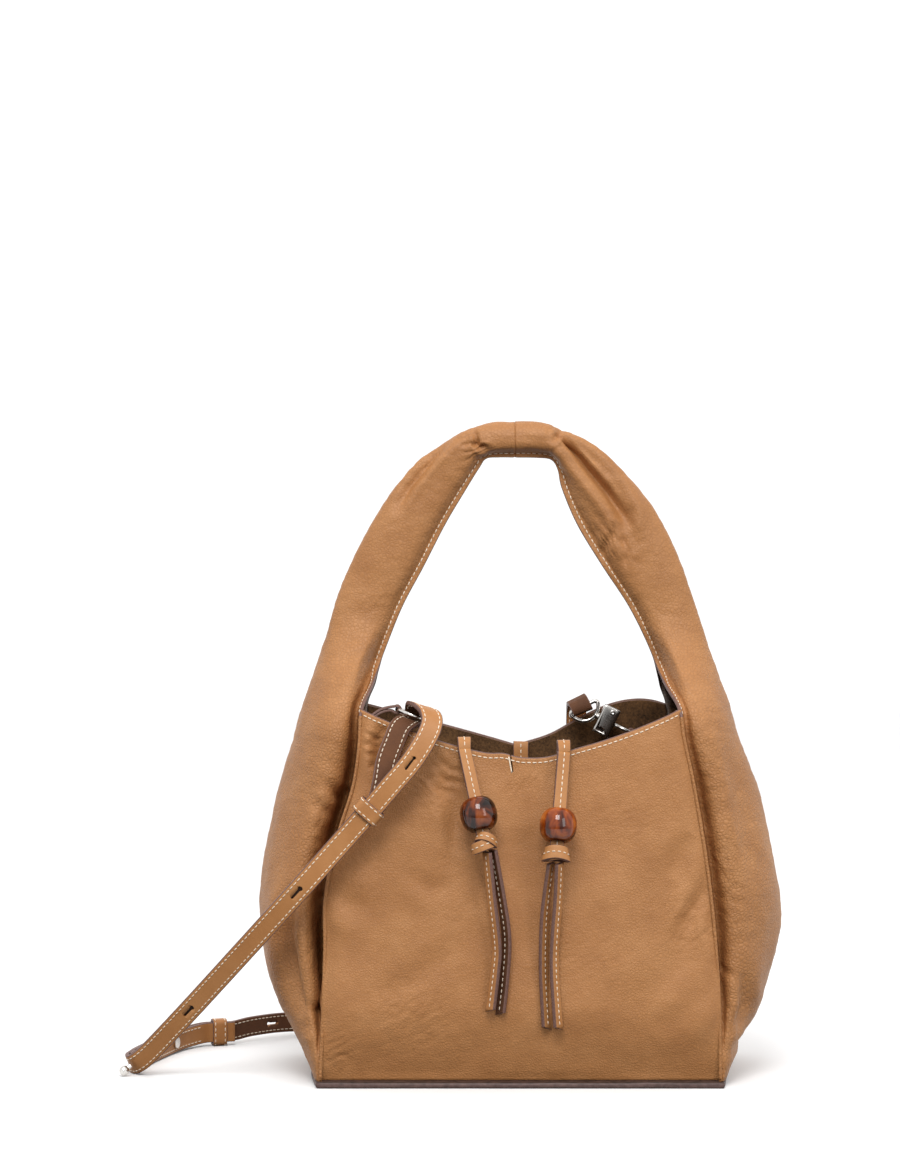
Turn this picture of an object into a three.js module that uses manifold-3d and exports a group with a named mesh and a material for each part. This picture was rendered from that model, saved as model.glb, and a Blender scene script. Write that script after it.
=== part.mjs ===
// Slouchy leather bucket bag: an unlined body whose side gussets run up into an arched handle, a
// drawstring tie with two beads over the front rim, and a crossbody strap clipped across the mouth.
// Millimetres, +Z up, front towards -Y, origin at the middle of the underside of the base.
import * as THREE from 'three';
import Module from 'manifold-3d';
import { mergeVertices } from 'three/addons/utils/BufferGeometryUtils.js';

const wasm = await Module();
wasm.setup();

// ---- Driving dimensions ----
const PANEL_THICKNESS = 2.2;
const SEAM_GAP = 0.3;
const BASE_THICKNESS = 3;
const BASE_FLANGE = 1.5;
const PANEL_BOTTOM = BASE_THICKNESS + 0.4;
const CORNER_HEIGHT = 210;
const BASE_HALF_WIDTH = 113;
const BASE_HALF_DEPTH = 60;
const CORNER_HALF_WIDTH = 90.5;
const CORNER_HALF_DEPTH = 50;
const PANEL_BULGE = 2;
const FRONT_RIM = { middle: 184.5, rise: 27, power: 1.5 };
const BACK_RIM = { middle: 186, rise: 25, power: 0.9 };
const FACING_HEIGHT = 17;
const FACING_THICKNESS = 1.3;

const HINGE_HEIGHT = 262;
const HINGE_RADIUS = 10;
const GUSSET_TOP = HINGE_HEIGHT - HINGE_RADIUS - 0.5;
const GUSSET_TOP_INNER = 74;
const GUSSET_TOP_HALF_DEPTH = 3.2;
const HANDLE_TOP = 377;
const GRIP_UNDERSIDE = 354.5;
const GRIP_HALF_DEPTH = 11;

const STRAP_WIDTH = 12;
const STRAP_THICKNESS = 2.5;
const LAYER_OFFSET = STRAP_THICKNESS / 2 + 0.4;
const TIE_WIDTH = 7.5;
const TIE_THICKNESS = 1.8;
const TAIL_WIDTH = 6;
const BEAD = { radius: 10.3, halfHeight: 8.5, bore: 4.4 };
const RING = { radius: 8.6, leftRadius: 10.5, wire: 1.2 };
const TAB = { inner: 2.5, outer: 3.8, width: 8 };
const HOOK = { width: 10, height: 17.5, depth: 6 };
const EYE = { radius: 8.8, wire: 1.3, post: 2.8 };
const KEEPER = { along: 9, wall: 1.5, clearance: 0.4 };
const STUD = { ball: 2.95, neck: 1.3 };

// ---- Materials ----
const leather = () => new THREE.MeshStandardMaterial({ color: 0xa9713f, roughness: 0.6, metalness: 0 });
const suede = () => new THREE.MeshStandardMaterial({ color: 0x5b452c, roughness: 0.95, metalness: 0 });
const strapLeather = () => new THREE.MeshStandardMaterial({ color: 0x8f5c31, roughness: 0.55, metalness: 0 });
const nickel = () => new THREE.MeshStandardMaterial({ color: 0xc9c7c4, roughness: 0.22, metalness: 1 });
const tortoise = () => new THREE.MeshStandardMaterial({ color: 0x6e2f10, roughness: 0.12, metalness: 0 });

const bag = new THREE.Group();

function add(name, geometry, material) {
  const mesh = new THREE.Mesh(geometry, material);
  mesh.name = name;
  bag.add(mesh);
  return mesh;
}

// ---- Solid-building helpers ----

// A closed body from shared vertices and triangles, turned so that its faces point outwards.
function closedBody(vertices, triangles) {
  let volume = 0;
  const cross = new THREE.Vector3();
  for (const [a, b, c] of triangles) {
    volume += vertices[a].dot(cross.crossVectors(vertices[b], vertices[c]));
  }
  const index = triangles.flatMap(([a, b, c]) => (volume > 0 ? [a, b, c] : [a, c, b]));
  const geometry = new THREE.BufferGeometry();
  geometry.setAttribute('position', new THREE.Float32BufferAttribute(vertices.flatMap((v) => v.toArray()), 3));
  geometry.setIndex(index);
  return geometry;
}

// A solid skinned over a row of closed rings, capped flat at both ends.
function loft(rings) {
  const sides = rings[0].length;
  const vertices = rings.flat();
  const triangles = [];
  for (let row = 0; row < rings.length - 1; row++) {
    for (let i = 0; i < sides; i++) {
      const a = row * sides + i;
      const b = row * sides + ((i + 1) % sides);
      triangles.push([a, b, b + sides], [a, b + sides, a + sides]);
    }
  }
  const last = (rings.length - 1) * sides;
  for (let i = 1; i < sides - 1; i++) {
    triangles.push([0, i + 1, i], [last, last + i, last + i + 1]);
  }
  return closedBody(vertices, triangles);
}

// A body skinned over rings that run round and meet again, like a wire bent into a ring.
function closedLoop(rings) {
  const sides = rings[0].length;
  const triangles = rings.flatMap((_, row) => rings[0].flatMap((__, i) => {
    const after = ((row + 1) % rings.length) * sides;
    const [a, b] = [row * sides + i, row * sides + ((i + 1) % sides)];
    const [c, d] = [after + ((i + 1) % sides), after + i];
    return [[a, b, c], [a, c, d]];
  }));
  return closedBody(rings.flat(), triangles);
}

// A panel of even thickness: surface(u, v) gives a point of the outer face and the inward direction.
function thickSheet(surface, uSteps, vSteps, thickness) {
  const outer = [];
  const inner = [];
  for (let j = 0; j <= vSteps; j++) {
    for (let i = 0; i <= uSteps; i++) {
      const { point, inward } = surface(i / uSteps, j / vSteps);
      outer.push(point);
      inner.push(point.clone().addScaledVector(inward, thickness));
    }
  }
  const at = (i, j) => j * (uSteps + 1) + i;
  const back = outer.length;
  const triangles = [];
  for (let j = 0; j < vSteps; j++) {
    for (let i = 0; i < uSteps; i++) {
      const [a, b, c, d] = [at(i, j), at(i + 1, j), at(i + 1, j + 1), at(i, j + 1)];
      triangles.push([a, b, c], [a, c, d], [back + a, back + c, back + b], [back + a, back + d, back + c]);
    }
  }
  const rim = [];
  for (let i = 0; i < uSteps; i++) rim.push(at(i, 0));
  for (let j = 0; j < vSteps; j++) rim.push(at(uSteps, j));
  for (let i = uSteps; i > 0; i--) rim.push(at(i, vSteps));
  for (let j = vSteps; j > 0; j--) rim.push(at(0, j));
  rim.forEach((a, k) => {
    const b = rim[(k + 1) % rim.length];
    triangles.push([b, a, back + a], [b, back + a, back + b]);
  });
  return closedBody([...outer, ...inner], triangles);
}

// A flat strap along a curve; acrossAt(point) is the direction across the strap at each place.
function flatStrap(curve, acrossAt, width, thickness, steps) {
  const rings = [];
  for (let i = 0; i <= steps; i++) {
    const centre = curve.getPoint(i / steps);
    const { across, normal } = strapFrame(curve, i / steps, acrossAt);
    rings.push([[-1, -1], [1, -1], [1, 1], [-1, 1]].map(([a, b]) => centre.clone()
      .addScaledVector(across, (a * width) / 2)
      .addScaledVector(normal, (b * thickness) / 2)));
  }
  return loft(rings);
}

function strapFrame(curve, t, acrossAt) {
  const tangent = curve.getTangent(t);
  const wanted = acrossAt(curve.getPoint(t));
  const across = wanted.addScaledVector(tangent, -wanted.dot(tangent)).normalize();
  return { across, normal: new THREE.Vector3().crossVectors(tangent, across) };
}

function manifold(geometry) {
  geometry.deleteAttribute('normal');
  geometry.deleteAttribute('uv');
  const merged = mergeVertices(geometry, 1e-4);
  return new wasm.Manifold(new wasm.Mesh({
    numProp: 3,
    vertProperties: new Float32Array(merged.attributes.position.array),
    triVerts: new Uint32Array(merged.index.array),
  }));
}

function fromManifold(solid) {
  const mesh = solid.getMesh();
  const geometry = new THREE.BufferGeometry();
  geometry.setAttribute('position', new THREE.BufferAttribute(mesh.vertProperties, 3));
  geometry.setIndex(new THREE.BufferAttribute(mesh.triVerts, 1));
  return geometry;
}

const clamp01 = (t) => Math.min(1, Math.max(0, t));
const mix = THREE.MathUtils.lerp;
const vec = (x, y, z) => new THREE.Vector3(x, y, z);
const box = (w, d, h, x, y, z) => new THREE.BoxGeometry(w, d, h).translate(x, y, z);
const pin = (radius, length) => new THREE.CylinderGeometry(radius, radius, length, 16);
const spline = (points) => new THREE.CatmullRomCurve3(points.map((p) => vec(...p)), false, 'centripetal');

// ---- Body of the bag ----

// 0 below the rim corners, 1 where the gusset closes under the handle fold.
const closing = (z) => clamp01((z - CORNER_HEIGHT) / (GUSSET_TOP - CORNER_HEIGHT));

// Half width and half depth of the seams between the flat panels and the gussets.
function edgeHalfWidth(z) {
  const taper = clamp01((z - 60) / (CORNER_HEIGHT - 60)) ** 1.6;
  const seam = mix(BASE_HALF_WIDTH, CORNER_HALF_WIDTH, taper);
  return mix(seam, GUSSET_TOP_INNER, closing(z));
}

function edgeHalfDepth(z) {
  const lean = Math.min(1, z / CORNER_HEIGHT) ** 1.5;
  const seam = mix(BASE_HALF_DEPTH, CORNER_HALF_DEPTH, lean);
  return mix(seam, GUSSET_TOP_HALF_DEPTH, Math.sin(closing(z) * Math.PI / 2));
}

// The outer silhouette of a gusset as a curve of [half width, height].
const silhouette = new THREE.CatmullRomCurve3(
  [[119, 0], [133, 28], [144, 52], [150, 75], [151.5, 95], [148, 121], [141, 155], [131, 190],
    [120, 222], [108.5, HINGE_HEIGHT]].map(([x, z]) => vec(x, 0, z)),
  false, 'centripetal');
const silhouettePoints = silhouette.getPoints(200);

function bulgeHalfWidth(z) {
  const above = silhouettePoints.findIndex((p) => p.z >= z);
  const high = silhouettePoints[Math.max(1, above)];
  const low = silhouettePoints[Math.max(1, above) - 1];
  return mix(low.x, high.x, (z - low.z) / (high.z - low.z));
}

// Direction through the leather at the seams, the same for both panels so that they never cross.
const seamInward = (side, front) => vec(-0.35 * side, -0.94 * front, 0).normalize();

function flatPanel(front, rim) {
  return (u, v) => {
    const across = 2 * u - 1;
    const top = rim.middle + rim.rise * Math.abs(across) ** rim.power;
    const z = mix(PANEL_BOTTOM, top, v);
    const bulge = PANEL_BULGE * (1 - across * across) * Math.sin(Math.PI * v);
    const y = front * (edgeHalfDepth(z) + bulge);
    const seam = clamp01((Math.abs(across) - 0.85) / 0.15);
    const inward = vec(0, -front, 0).lerp(seamInward(Math.sign(across), front), seam).normalize();
    return { point: vec(across * (edgeHalfWidth(z) - SEAM_GAP), y, z), inward };
  };
}

// Horizontal section of a gusset, from its front seam round the outer bulge to its back seam.
function gussetSection(z) {
  const x0 = edgeHalfWidth(z) + SEAM_GAP;
  const y0 = edgeHalfDepth(z);
  const spread = bulgeHalfWidth(z) - x0;
  const s = closing(z);
  const shoulder = mix(0.91 * y0, 9.3, s);
  const flank = mix(0.6 * y0, 7.6, s);
  const quarter = [[x0, y0], [x0 + 0.3 * spread, shoulder], [x0 + 0.78 * spread, flank]];
  const points = [
    ...quarter.map(([x, y]) => [x, -y, z]),
    [x0 + spread, 0, z],
    ...quarter.reverse().map(([x, y]) => [x, y, z]),
  ];
  return spline(points);
}

function gusset(side) {
  return (u, v) => {
    const z = mix(PANEL_BOTTOM, GUSSET_TOP, v);
    const section = gussetSection(z);
    const point = section.getPoint(u);
    const tangent = section.getTangent(u);
    const own = vec(-tangent.y, tangent.x, 0).normalize();
    const seam = clamp01((Math.abs(2 * u - 1) - 0.8) / 0.2);
    const inward = own.lerp(seamInward(1, u < 0.5 ? -1 : 1), seam).normalize();
    point.x *= side;
    inward.x *= side;
    return { point, inward };
  };
}

// The base reaches a little past the panels all round as a sewn flange.
function basePanel() {
  const half = BASE_HALF_WIDTH + BASE_FLANGE;
  const depth = BASE_HALF_DEPTH + BASE_FLANGE;
  const belly = bulgeHalfWidth(0) + BASE_FLANGE;
  const outline = new THREE.Shape();
  outline.moveTo(-half, -depth);
  outline.lineTo(half, -depth);
  outline.quadraticCurveTo(belly + (belly - half), 0, half, depth);
  outline.lineTo(-half, depth);
  outline.quadraticCurveTo(-belly - (belly - half), 0, -half, -depth);
  return new THREE.ExtrudeGeometry(outline, { depth: BASE_THICKNESS, bevelEnabled: false, curveSegments: 10 });
}

// The hem strip inside a rim, following the panel at a small gap.
function rimFacing(front, rim) {
  const panel = flatPanel(front, rim);
  return (u, v) => {
    const low = 1 - FACING_HEIGHT / rim.middle;
    const { point } = panel(mix(0.06, 0.94, u), mix(low, 0.996, v));
    point.y -= front * (PANEL_THICKNESS + 0.4);
    return { point, inward: vec(0, -front, 0) };
  };
}

add('base_panel', basePanel(), leather());
add('front_panel', thickSheet(flatPanel(-1, FRONT_RIM), 18, 12, PANEL_THICKNESS), leather());
add('back_panel', thickSheet(flatPanel(1, BACK_RIM), 18, 12, PANEL_THICKNESS), leather());
add('front_rim_facing', thickSheet(rimFacing(-1, FRONT_RIM), 18, 1, FACING_THICKNESS), suede());
add('back_rim_facing', thickSheet(rimFacing(1, BACK_RIM), 18, 1, FACING_THICKNESS), suede());
add('gusset_left', thickSheet(gusset(-1), 18, 20, PANEL_THICKNESS), leather());
add('gusset_right', thickSheet(gusset(1), 18, 20, PANEL_THICKNESS), leather());

// ---- Handle: two folded leather halves that meet in a seam at the top ----

const handleOuter = spline([[bulgeHalfWidth(HINGE_HEIGHT), 0, HINGE_HEIGHT], [99.5, 0, 285], [89, 0, 308],
  [76, 0, 331], [59, 0, 352.5], [45, 0, 363], [31, 0, 371], [16, 0, 375.8], [SEAM_GAP, 0, HANDLE_TOP]]);
const handleInner = spline([[69.5, 0, HINGE_HEIGHT], [57, 0, 285], [43.5, 0, 308], [31, 0, 331],
  [24, 0, 347], [19.5, 0, 353], [14, 0, GRIP_UNDERSIDE], [7, 0, GRIP_UNDERSIDE], [SEAM_GAP, 0, GRIP_UNDERSIDE]]);
const HANDLE_SIDES = 14;

function handleRing(side, inner, outer, halfDepth, drop) {
  return Array.from({ length: HANDLE_SIDES }, (_, k) => {
    const angle = (2 * Math.PI * k) / HANDLE_SIDES;
    const point = inner.clone().lerp(outer, (1 - Math.cos(angle)) / 2);
    const round = Math.sign(Math.sin(angle)) * Math.abs(Math.sin(angle)) ** 0.8;
    return vec(side * point.x, halfDepth * round, point.z - drop);
  });
}

function handleHalf(side) {
  const rings = [];
  for (const degrees of [80, 60, 40, 20]) {
    const a = THREE.MathUtils.degToRad(degrees);
    rings.push(handleRing(side, handleInner.getPoint(0), handleOuter.getPoint(0),
      HINGE_RADIUS * Math.cos(a), HINGE_RADIUS * Math.sin(a)));
  }
  const steps = 20;
  for (let i = 0; i <= steps; i++) {
    const t = i / steps;
    const halfDepth = mix(HINGE_RADIUS, GRIP_HALF_DEPTH, t) - 1.5 * Math.sin(Math.PI * t);
    rings.push(handleRing(side, handleInner.getPoint(t), handleOuter.getPoint(t), halfDepth, 0));
  }
  return loft(rings);
}

add('handle_left', handleHalf(-1), leather());
add('handle_right', handleHalf(1), leather());

// ---- Drawstring tie over the front rim ----

function rimHeight(rim, x) {
  return rim.middle + rim.rise * (Math.abs(x) / CORNER_HALF_WIDTH) ** rim.power;
}

// Each tie: where it leaves the rim, where its knot sits, and how its two tails hang.
const TIES = {
  left: {
    x: -31.5,
    knot: [-20.2, -73.5, 139.5],
    knotRadii: [6, 5, 5.8],
    front: [[-18.8, -73.8, 133.4], [-16.2, -69.6, 107], [-13.4, -67.2, 81], [-14, -66.5, 68], [-16.8, -65.9, 44.2]],
    back: [[-15.6, -70.5, 134.4], [-10.6, -66.3, 106], [-7.8, -64.2, 84], [-9, -63.3, 62], [-11.2, -63, 42]],
  },
  right: {
    x: 24.5,
    knot: [19.5, -73.5, 133.2],
    knotRadii: [7, 5, 5.6],
    front: [[21.4, -73.8, 127.2], [20.7, -69.6, 106.4], [19.4, -67.4, 88], [18.8, -66.4, 68], [21, -65.9, 34.2]],
    back: [[17, -70.5, 127], [14.6, -66.3, 108], [13.2, -64.4, 92], [12.9, -63.3, 66], [14.6, -63, 34]],
  },
};
const TIE_FALL_Y = -(CORNER_HALF_DEPTH + 6.8);

function tieHump(x) {
  const top = rimHeight(FRONT_RIM, x) + 1.2;
  const panelFront = -edgeHalfDepth(top) - 4;
  const legInside = panelFront + PANEL_THICKNESS + FACING_THICKNESS + 3;
  const shape = new THREE.Shape();
  const outerRadius = (legInside - panelFront) / 2 + TIE_THICKNESS;
  const middle = (legInside + panelFront) / 2;
  shape.absarc(middle, top, outerRadius, 0, Math.PI, false);
  shape.absarc(middle, top, outerRadius - TIE_THICKNESS, Math.PI, 0, true);
  const geometry = new THREE.ExtrudeGeometry(shape, { depth: TIE_WIDTH, bevelEnabled: false, curveSegments: 8 });
  geometry.applyMatrix4(new THREE.Matrix4().makeBasis(vec(0, 1, 0), vec(0, 0, 1), vec(1, 0, 0)));
  return geometry.translate(x - TIE_WIDTH / 2, 0, 0);
}

// The hidden run of the drawstring behind the front rim joins the two humps.
function tieInnerRun() {
  const reach = TIE_WIDTH / 2 + 0.5;
  const start = TIES.left.x - reach;
  const end = TIES.right.x + reach;
  const top = FRONT_RIM.middle - 0.3;
  const run = new THREE.BoxGeometry(end - start, TIE_THICKNESS, TIE_WIDTH);
  const insideFacing = -edgeHalfDepth(top) + PANEL_THICKNESS + FACING_THICKNESS + 0.8;
  return run.translate((start + end) / 2, insideFacing + TIE_THICKNESS / 2, top - TIE_WIDTH / 2);
}

function tail(points) {
  return flatStrap(spline(points), () => vec(1, 0, 0), TAIL_WIDTH, TIE_THICKNESS, 10);
}

add('tie_inner_run', tieInnerRun(), strapLeather());
for (const [side, tie] of Object.entries(TIES)) {
  const start = vec(tie.x, TIE_FALL_Y, rimHeight(FRONT_RIM, tie.x) - 0.2);
  const knot = vec(...tie.knot);
  const fall = knot.clone().sub(start);
  const axis = fall.clone().normalize();
  const length = fall.length() - tie.knotRadii[2] - 0.6;
  add(`tie_hump_${side}`, tieHump(tie.x), strapLeather());

  const strip = new THREE.LineCurve3(start, start.clone().addScaledVector(axis, length));
  add(`tie_strip_${side}`, flatStrap(strip, () => vec(1, 0, 0), TIE_WIDTH, TIE_THICKNESS, 4), strapLeather());

  const knotGeometry = new THREE.SphereGeometry(1, 14, 10).scale(...tie.knotRadii);
  add(`knot_${side}`, knotGeometry, strapLeather()).position.copy(knot);
  add(`tail_${side}_front`, tail(tie.front), strapLeather());
  add(`tail_${side}_back`, tail(tie.back), strapLeather());

  // A round bead with a wide bore, threaded on the strip just above the knot.
  const profile = [[BEAD.bore, -BEAD.halfHeight], [7.4, -BEAD.halfHeight], [9.4, -5.6], [BEAD.radius, -1.6],
    [BEAD.radius, 1.6], [9.4, 5.6], [7.4, BEAD.halfHeight], [BEAD.bore, BEAD.halfHeight],
    [BEAD.bore, -BEAD.halfHeight]].map(([r, h]) => new THREE.Vector2(r, h));
  const bead = add(`bead_${side}`, new THREE.LatheGeometry(profile, 20), tortoise());
  bead.quaternion.setFromUnitVectors(vec(0, -1, 0), axis);
  bead.position.copy(knot).addScaledVector(axis, -(tie.knotRadii[2] + BEAD.halfHeight + 1.2));
}

// A small stitched loop at the middle of the back rim.
const keeperTab = new THREE.BoxGeometry(9, 2, 12).translate(3, CORNER_HALF_DEPTH - 6.2, FRONT_RIM.middle - 2.5);
add('back_tab', keeperTab, strapLeather());

// ---- Corner rings and their leather tabs ----

const LEFT_RING_TILT = 0.315;
const leftRingFrame = new THREE.Matrix4().makeRotationY(LEFT_RING_TILT).setPosition(-59.5, -36, 207.8);
const hookFrame = new THREE.Matrix4().makeBasis(vec(0.9, 0, -0.436), vec(0, 1, 0), vec(0.436, 0, 0.9));
hookFrame.setPosition(53.7, 35, 201);
const EYE_BAR = vec(0.9, 0, 0.436);
const eyeFrame = new THREE.Matrix4().makeBasis(EYE_BAR, vec(0, 1, 0), vec(-0.436, 0, 0.9));
eyeFrame.setPosition(40, 35, 209.6);
const RING_IN_HOOK = -1.1;

function ring(name, radius, centre, frame) {
  const geometry = new THREE.TorusGeometry(radius, RING.wire, 8, 24).translate(centre, 0, 0);
  add(name, geometry, nickel()).applyMatrix4(frame);
}

// A leather tab folded round the side of a ring, its tongue turning flat into the corner seam.
function ringTab(name, reach, frame, tongueRoute) {
  const shape = new THREE.Shape();
  shape.absarc(0, 0, TAB.outer, 0, 2 * Math.PI, false);
  const eye = new THREE.Path();
  eye.absarc(0, 0, TAB.inner, 0, 2 * Math.PI, true);
  shape.holes.push(eye);
  const loop = new THREE.ExtrudeGeometry(shape, { depth: TAB.width, bevelEnabled: false, curveSegments: 10 });
  loop.translate(0, 0, -TAB.width / 2).rotateX(Math.PI / 2).translate(reach, 0, 0).applyMatrix4(frame);
  const xs = tongueRoute.map(([x]) => x);
  const acrossTab = (point) => vec(0, 1, 0).lerp(vec(0, 0, Math.sign(tongueRoute[0][1])),
    clamp01((point.x - xs[0]) / (xs.at(-1) - xs[0])));
  const tongue = flatStrap(spline(tongueRoute), acrossTab, TAB.width, TAB.outer - TAB.inner, 8);
  add(name, fromManifold(manifold(loop).add(manifold(tongue))), strapLeather());
}

ring('ring_left', RING.leftRadius, 0, leftRingFrame);
ring('ring_right', RING.radius, RING_IN_HOOK + RING.radius, hookFrame);
ringTab('ring_tab_left', -RING.leftRadius, leftRingFrame,
  [[-72.6, -36, 211.6], [-79, -37, 210], [-84.5, -40, 206.5], [-89, -43.3, 203.5]]);
ringTab('ring_tab_right', RING_IN_HOOK + 2 * RING.radius, hookFrame,
  [[71.2, 35, 192.6], [77.5, 36.8, 190.5], [85, 40.5, 188.5], [91, 43.8, 188]]);

// ---- Snap hook at the right corner ----

const GATE_PIVOT = [3.3, 5.4];
const GATE_WIDTH = 2.4;
const PIN_RADIUS = 0.8;

function hookBody() {
  const { width, depth, height } = HOOK;
  const [px, pz] = GATE_PIVOT;
  const gatePocket = box(4, 3.4, 11.5, px + 0.2, 0, pz - 3.6);
  return fromManifold(manifold(box(width, depth, height, 0, 0, 0))
    .subtract(manifold(box(5.4, depth + 1, 6.6, -0.1, 0, 0.2)))
    .subtract(manifold(box(6, depth + 1, 5.4, 4, 0, 0.2)))
    .subtract(manifold(gatePocket))
    .subtract(manifold(pin(PIN_RADIUS + 0.3, depth + 1).translate(px, 0, pz))));
}

function hookGate() {
  const [px, pz] = GATE_PIVOT;
  return fromManifold(manifold(box(GATE_WIDTH, 2.6, 10, px, 0, pz - 3.6))
    .subtract(manifold(pin(PIN_RADIUS + 0.3, 4).translate(px, 0, pz))));
}

// The D-shaped eye the strap folds round, with the swivel post that carries the hook.
function hookEye() {
  const outline = [];
  for (let i = 0; i <= 14; i++) {
    const angle = Math.PI * (1 + i / 14);
    outline.push([EYE.radius * Math.cos(angle), EYE.radius * Math.sin(angle)]);
  }
  for (const along of [0.6, 0.2, -0.2, -0.6]) outline.push([EYE.radius * along, 0]);
  const rings = outline.map(([x, z], i) => {
    const next = outline[(i + 1) % outline.length];
    const previous = outline[(i + outline.length - 1) % outline.length];
    const side = vec(previous[1] - next[1], 0, next[0] - previous[0]).normalize();
    return Array.from({ length: 8 }, (_, k) => vec(x, 0, z)
      .addScaledVector(side, EYE.wire * Math.cos((k * Math.PI) / 4))
      .add(vec(0, EYE.wire * Math.sin((k * Math.PI) / 4), 0)));
  });
  const loop = closedLoop(rings).applyMatrix4(eyeFrame);
  const postLeft = -HOOK.width / 2 - 0.3 - EYE.post;
  const post = pin(1.6, EYE.post).rotateZ(Math.PI / 2).translate(postLeft + EYE.post / 2, 0, 0);
  return fromManifold(manifold(loop).add(manifold(post.applyMatrix4(hookFrame))));
}

add('hook_eye', hookEye(), nickel());
add('hook_body', hookBody(), nickel()).applyMatrix4(hookFrame);
add('hook_gate', hookGate(), nickel()).applyMatrix4(hookFrame);
const rivet = pin(PIN_RADIUS, HOOK.depth + 1).translate(GATE_PIVOT[0], 0, GATE_PIVOT[1]);
add('hook_rivet', rivet, nickel()).applyMatrix4(hookFrame);

// ---- Crossbody strap ----

const DIAGONAL_ACROSS = vec(0.747, 0, -0.664);
const RING_ACROSS = vec(0.95, 0, -0.31);
const UPRIGHT_ACROSS = vec(0, 0, -1);
const LEVEL_ACROSS = vec(1, 0, 0);

// Both layers run together from above the upper keeper, down to the fold, and back along the floor.
const UPPER_KEEPER = [-84.7, -69, 155.6];
const LOWER_KEEPER = [-181, 81.4, 8.1];
const layeredRoute = [[-79.4, -69.1, 161.6], UPPER_KEEPER, [-104.4, -68.5, 133.4], [-124.1, -68, 111.2],
  [-155, -56, 76.6], [-187.2, -38, 40.5], [-211, -24, 14.6], [-219.5, -19, 7.4], [-222.5, -12.5, 6.3],
  [-221.5, -4, 6.3], [-218, 12, 6.3], [-213, 32, 6.3], [-207, 52, 6.6], [-200, 67, 7.2],
  [-190, 78.6, 8.1], LOWER_KEEPER, [-172, 84.2, 8.1]];
// The outer layer above the keeper, from inside the left ring over the top of its loop.
const outerFromRing = [[-59, -38, 208.3], [-59, -39, 210.5], [-58.8, -42.5, 212.8], [-57.3, -47.5, 213.3],
  [-54, -53.5, 212.4], [-50.6, -59, 209.6], [-49.5, -63.4, 204.5], [-52.8, -67, 196], [-61, -69.8, 183.2],
  [-71, -70.8, 171.5]];
const innerFromRing = [[-59, -37.7, 206.8], [-59.2, -39.2, 204.8], [-60.4, -43, 203.9], [-63, -48.8, 204.6],
  [-67.6, -54.8, 201.6], [-71.3, -58.8, 193], [-75, -62.4, 183], [-76.9, -65.8, 171.5]];
// The single layer from the tail end on, behind the bag, up its back and over the back rim.
const outerBehind = [[-161, 95, 9.4], [-141, 114, 8.8], [-110, 126, 7], [-66, 127, 6.4], [-28, 119, 7.5],
  [5, 105, 13], [26, 88, 36], [33, 76, 72], [35.5, 69, 112], [36.5, 64, 152], [36.6, 57.5, 186],
  [36.7, 54.6, 203], [36.4, 49, 211.3], [36, 41.5, 213.4]];

// The end of the strap curls round the bar of the hook's eye.
const CURL_RADIUS = 4.25;
const curlCentre = vec(38.6, 35, 208.9);
const curl = [85, 115, 145, 175, 205, 222].map((degrees) => {
  const angle = THREE.MathUtils.degToRad(degrees);
  return curlCentre.clone().add(vec(-0.436, 0, 0.9).multiplyScalar(CURL_RADIUS * Math.sin(angle)))
    .add(vec(0, CURL_RADIUS * Math.cos(angle), 0)).toArray();
});

// Across the strap: slanted on the diagonal, upright on the floor, level up the back of the bag.
function acrossStrap(point) {
  if (point.x > -100) {
    const level = UPRIGHT_ACROSS.clone().lerp(LEVEL_ACROSS, clamp01((point.z - 7) / 50));
    const atEye = level.lerp(EYE_BAR, clamp01((point.z - 203) / 8)).normalize();
    const atRing = RING_ACROSS.clone().lerp(DIAGONAL_ACROSS, clamp01((200 - point.z) / 30)).normalize();
    return point.y < 0 && point.x < 0 ? atRing : atEye;
  }
  const upright = clamp01((point.y + 22) / 14) * clamp01((22 - point.z) / 12);
  return DIAGONAL_ACROSS.clone().lerp(UPRIGHT_ACROSS, upright).normalize();
}

// Points of one of the two layers, offset from the middle of the pair.
function layer(offset) {
  const middle = spline(layeredRoute);
  return layeredRoute.map((point, i) => {
    const { normal } = strapFrame(middle, i / (layeredRoute.length - 1), acrossStrap);
    return vec(...point).addScaledVector(normal, offset).toArray();
  });
}

function strapNode(name, points) {
  const steps = 2 * (points.length - 1);
  add(name, flatStrap(spline(points), acrossStrap, STRAP_WIDTH, STRAP_THICKNESS, steps), strapLeather());
}

strapNode('strap_outer', [...outerFromRing, ...layer(LAYER_OFFSET), ...outerBehind, ...curl]);
strapNode('strap_inner', [...innerFromRing, ...layer(-LAYER_OFFSET)]);

// Frame of the layered pair at one of its route points: along, across and through the strap.
function layeredFrame(index) {
  const middle = spline(layeredRoute);
  const t = index / (layeredRoute.length - 1);
  const { across, normal } = strapFrame(middle, t, acrossStrap);
  return new THREE.Matrix4().makeBasis(middle.getTangent(t), across, normal)
    .setPosition(vec(...layeredRoute[index]));
}

// A leather keeper: a short band closed round both layers.
function keeper(name, index) {
  const { along, wall, clearance } = KEEPER;
  const holeWidth = STRAP_WIDTH + 2 * clearance;
  const holeDepth = 2 * (LAYER_OFFSET + STRAP_THICKNESS / 2 + clearance);
  const band = manifold(box(along, holeWidth + 2 * wall, holeDepth + 2 * wall, 0, 0, 0))
    .subtract(manifold(box(along + 1, holeWidth, holeDepth, 0, 0, 0)));
  add(name, fromManifold(band), strapLeather()).applyMatrix4(layeredFrame(index));
}

keeper('keeper_upper', layeredRoute.indexOf(UPPER_KEEPER));
keeper('keeper_lower', layeredRoute.indexOf(LOWER_KEEPER));

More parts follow.
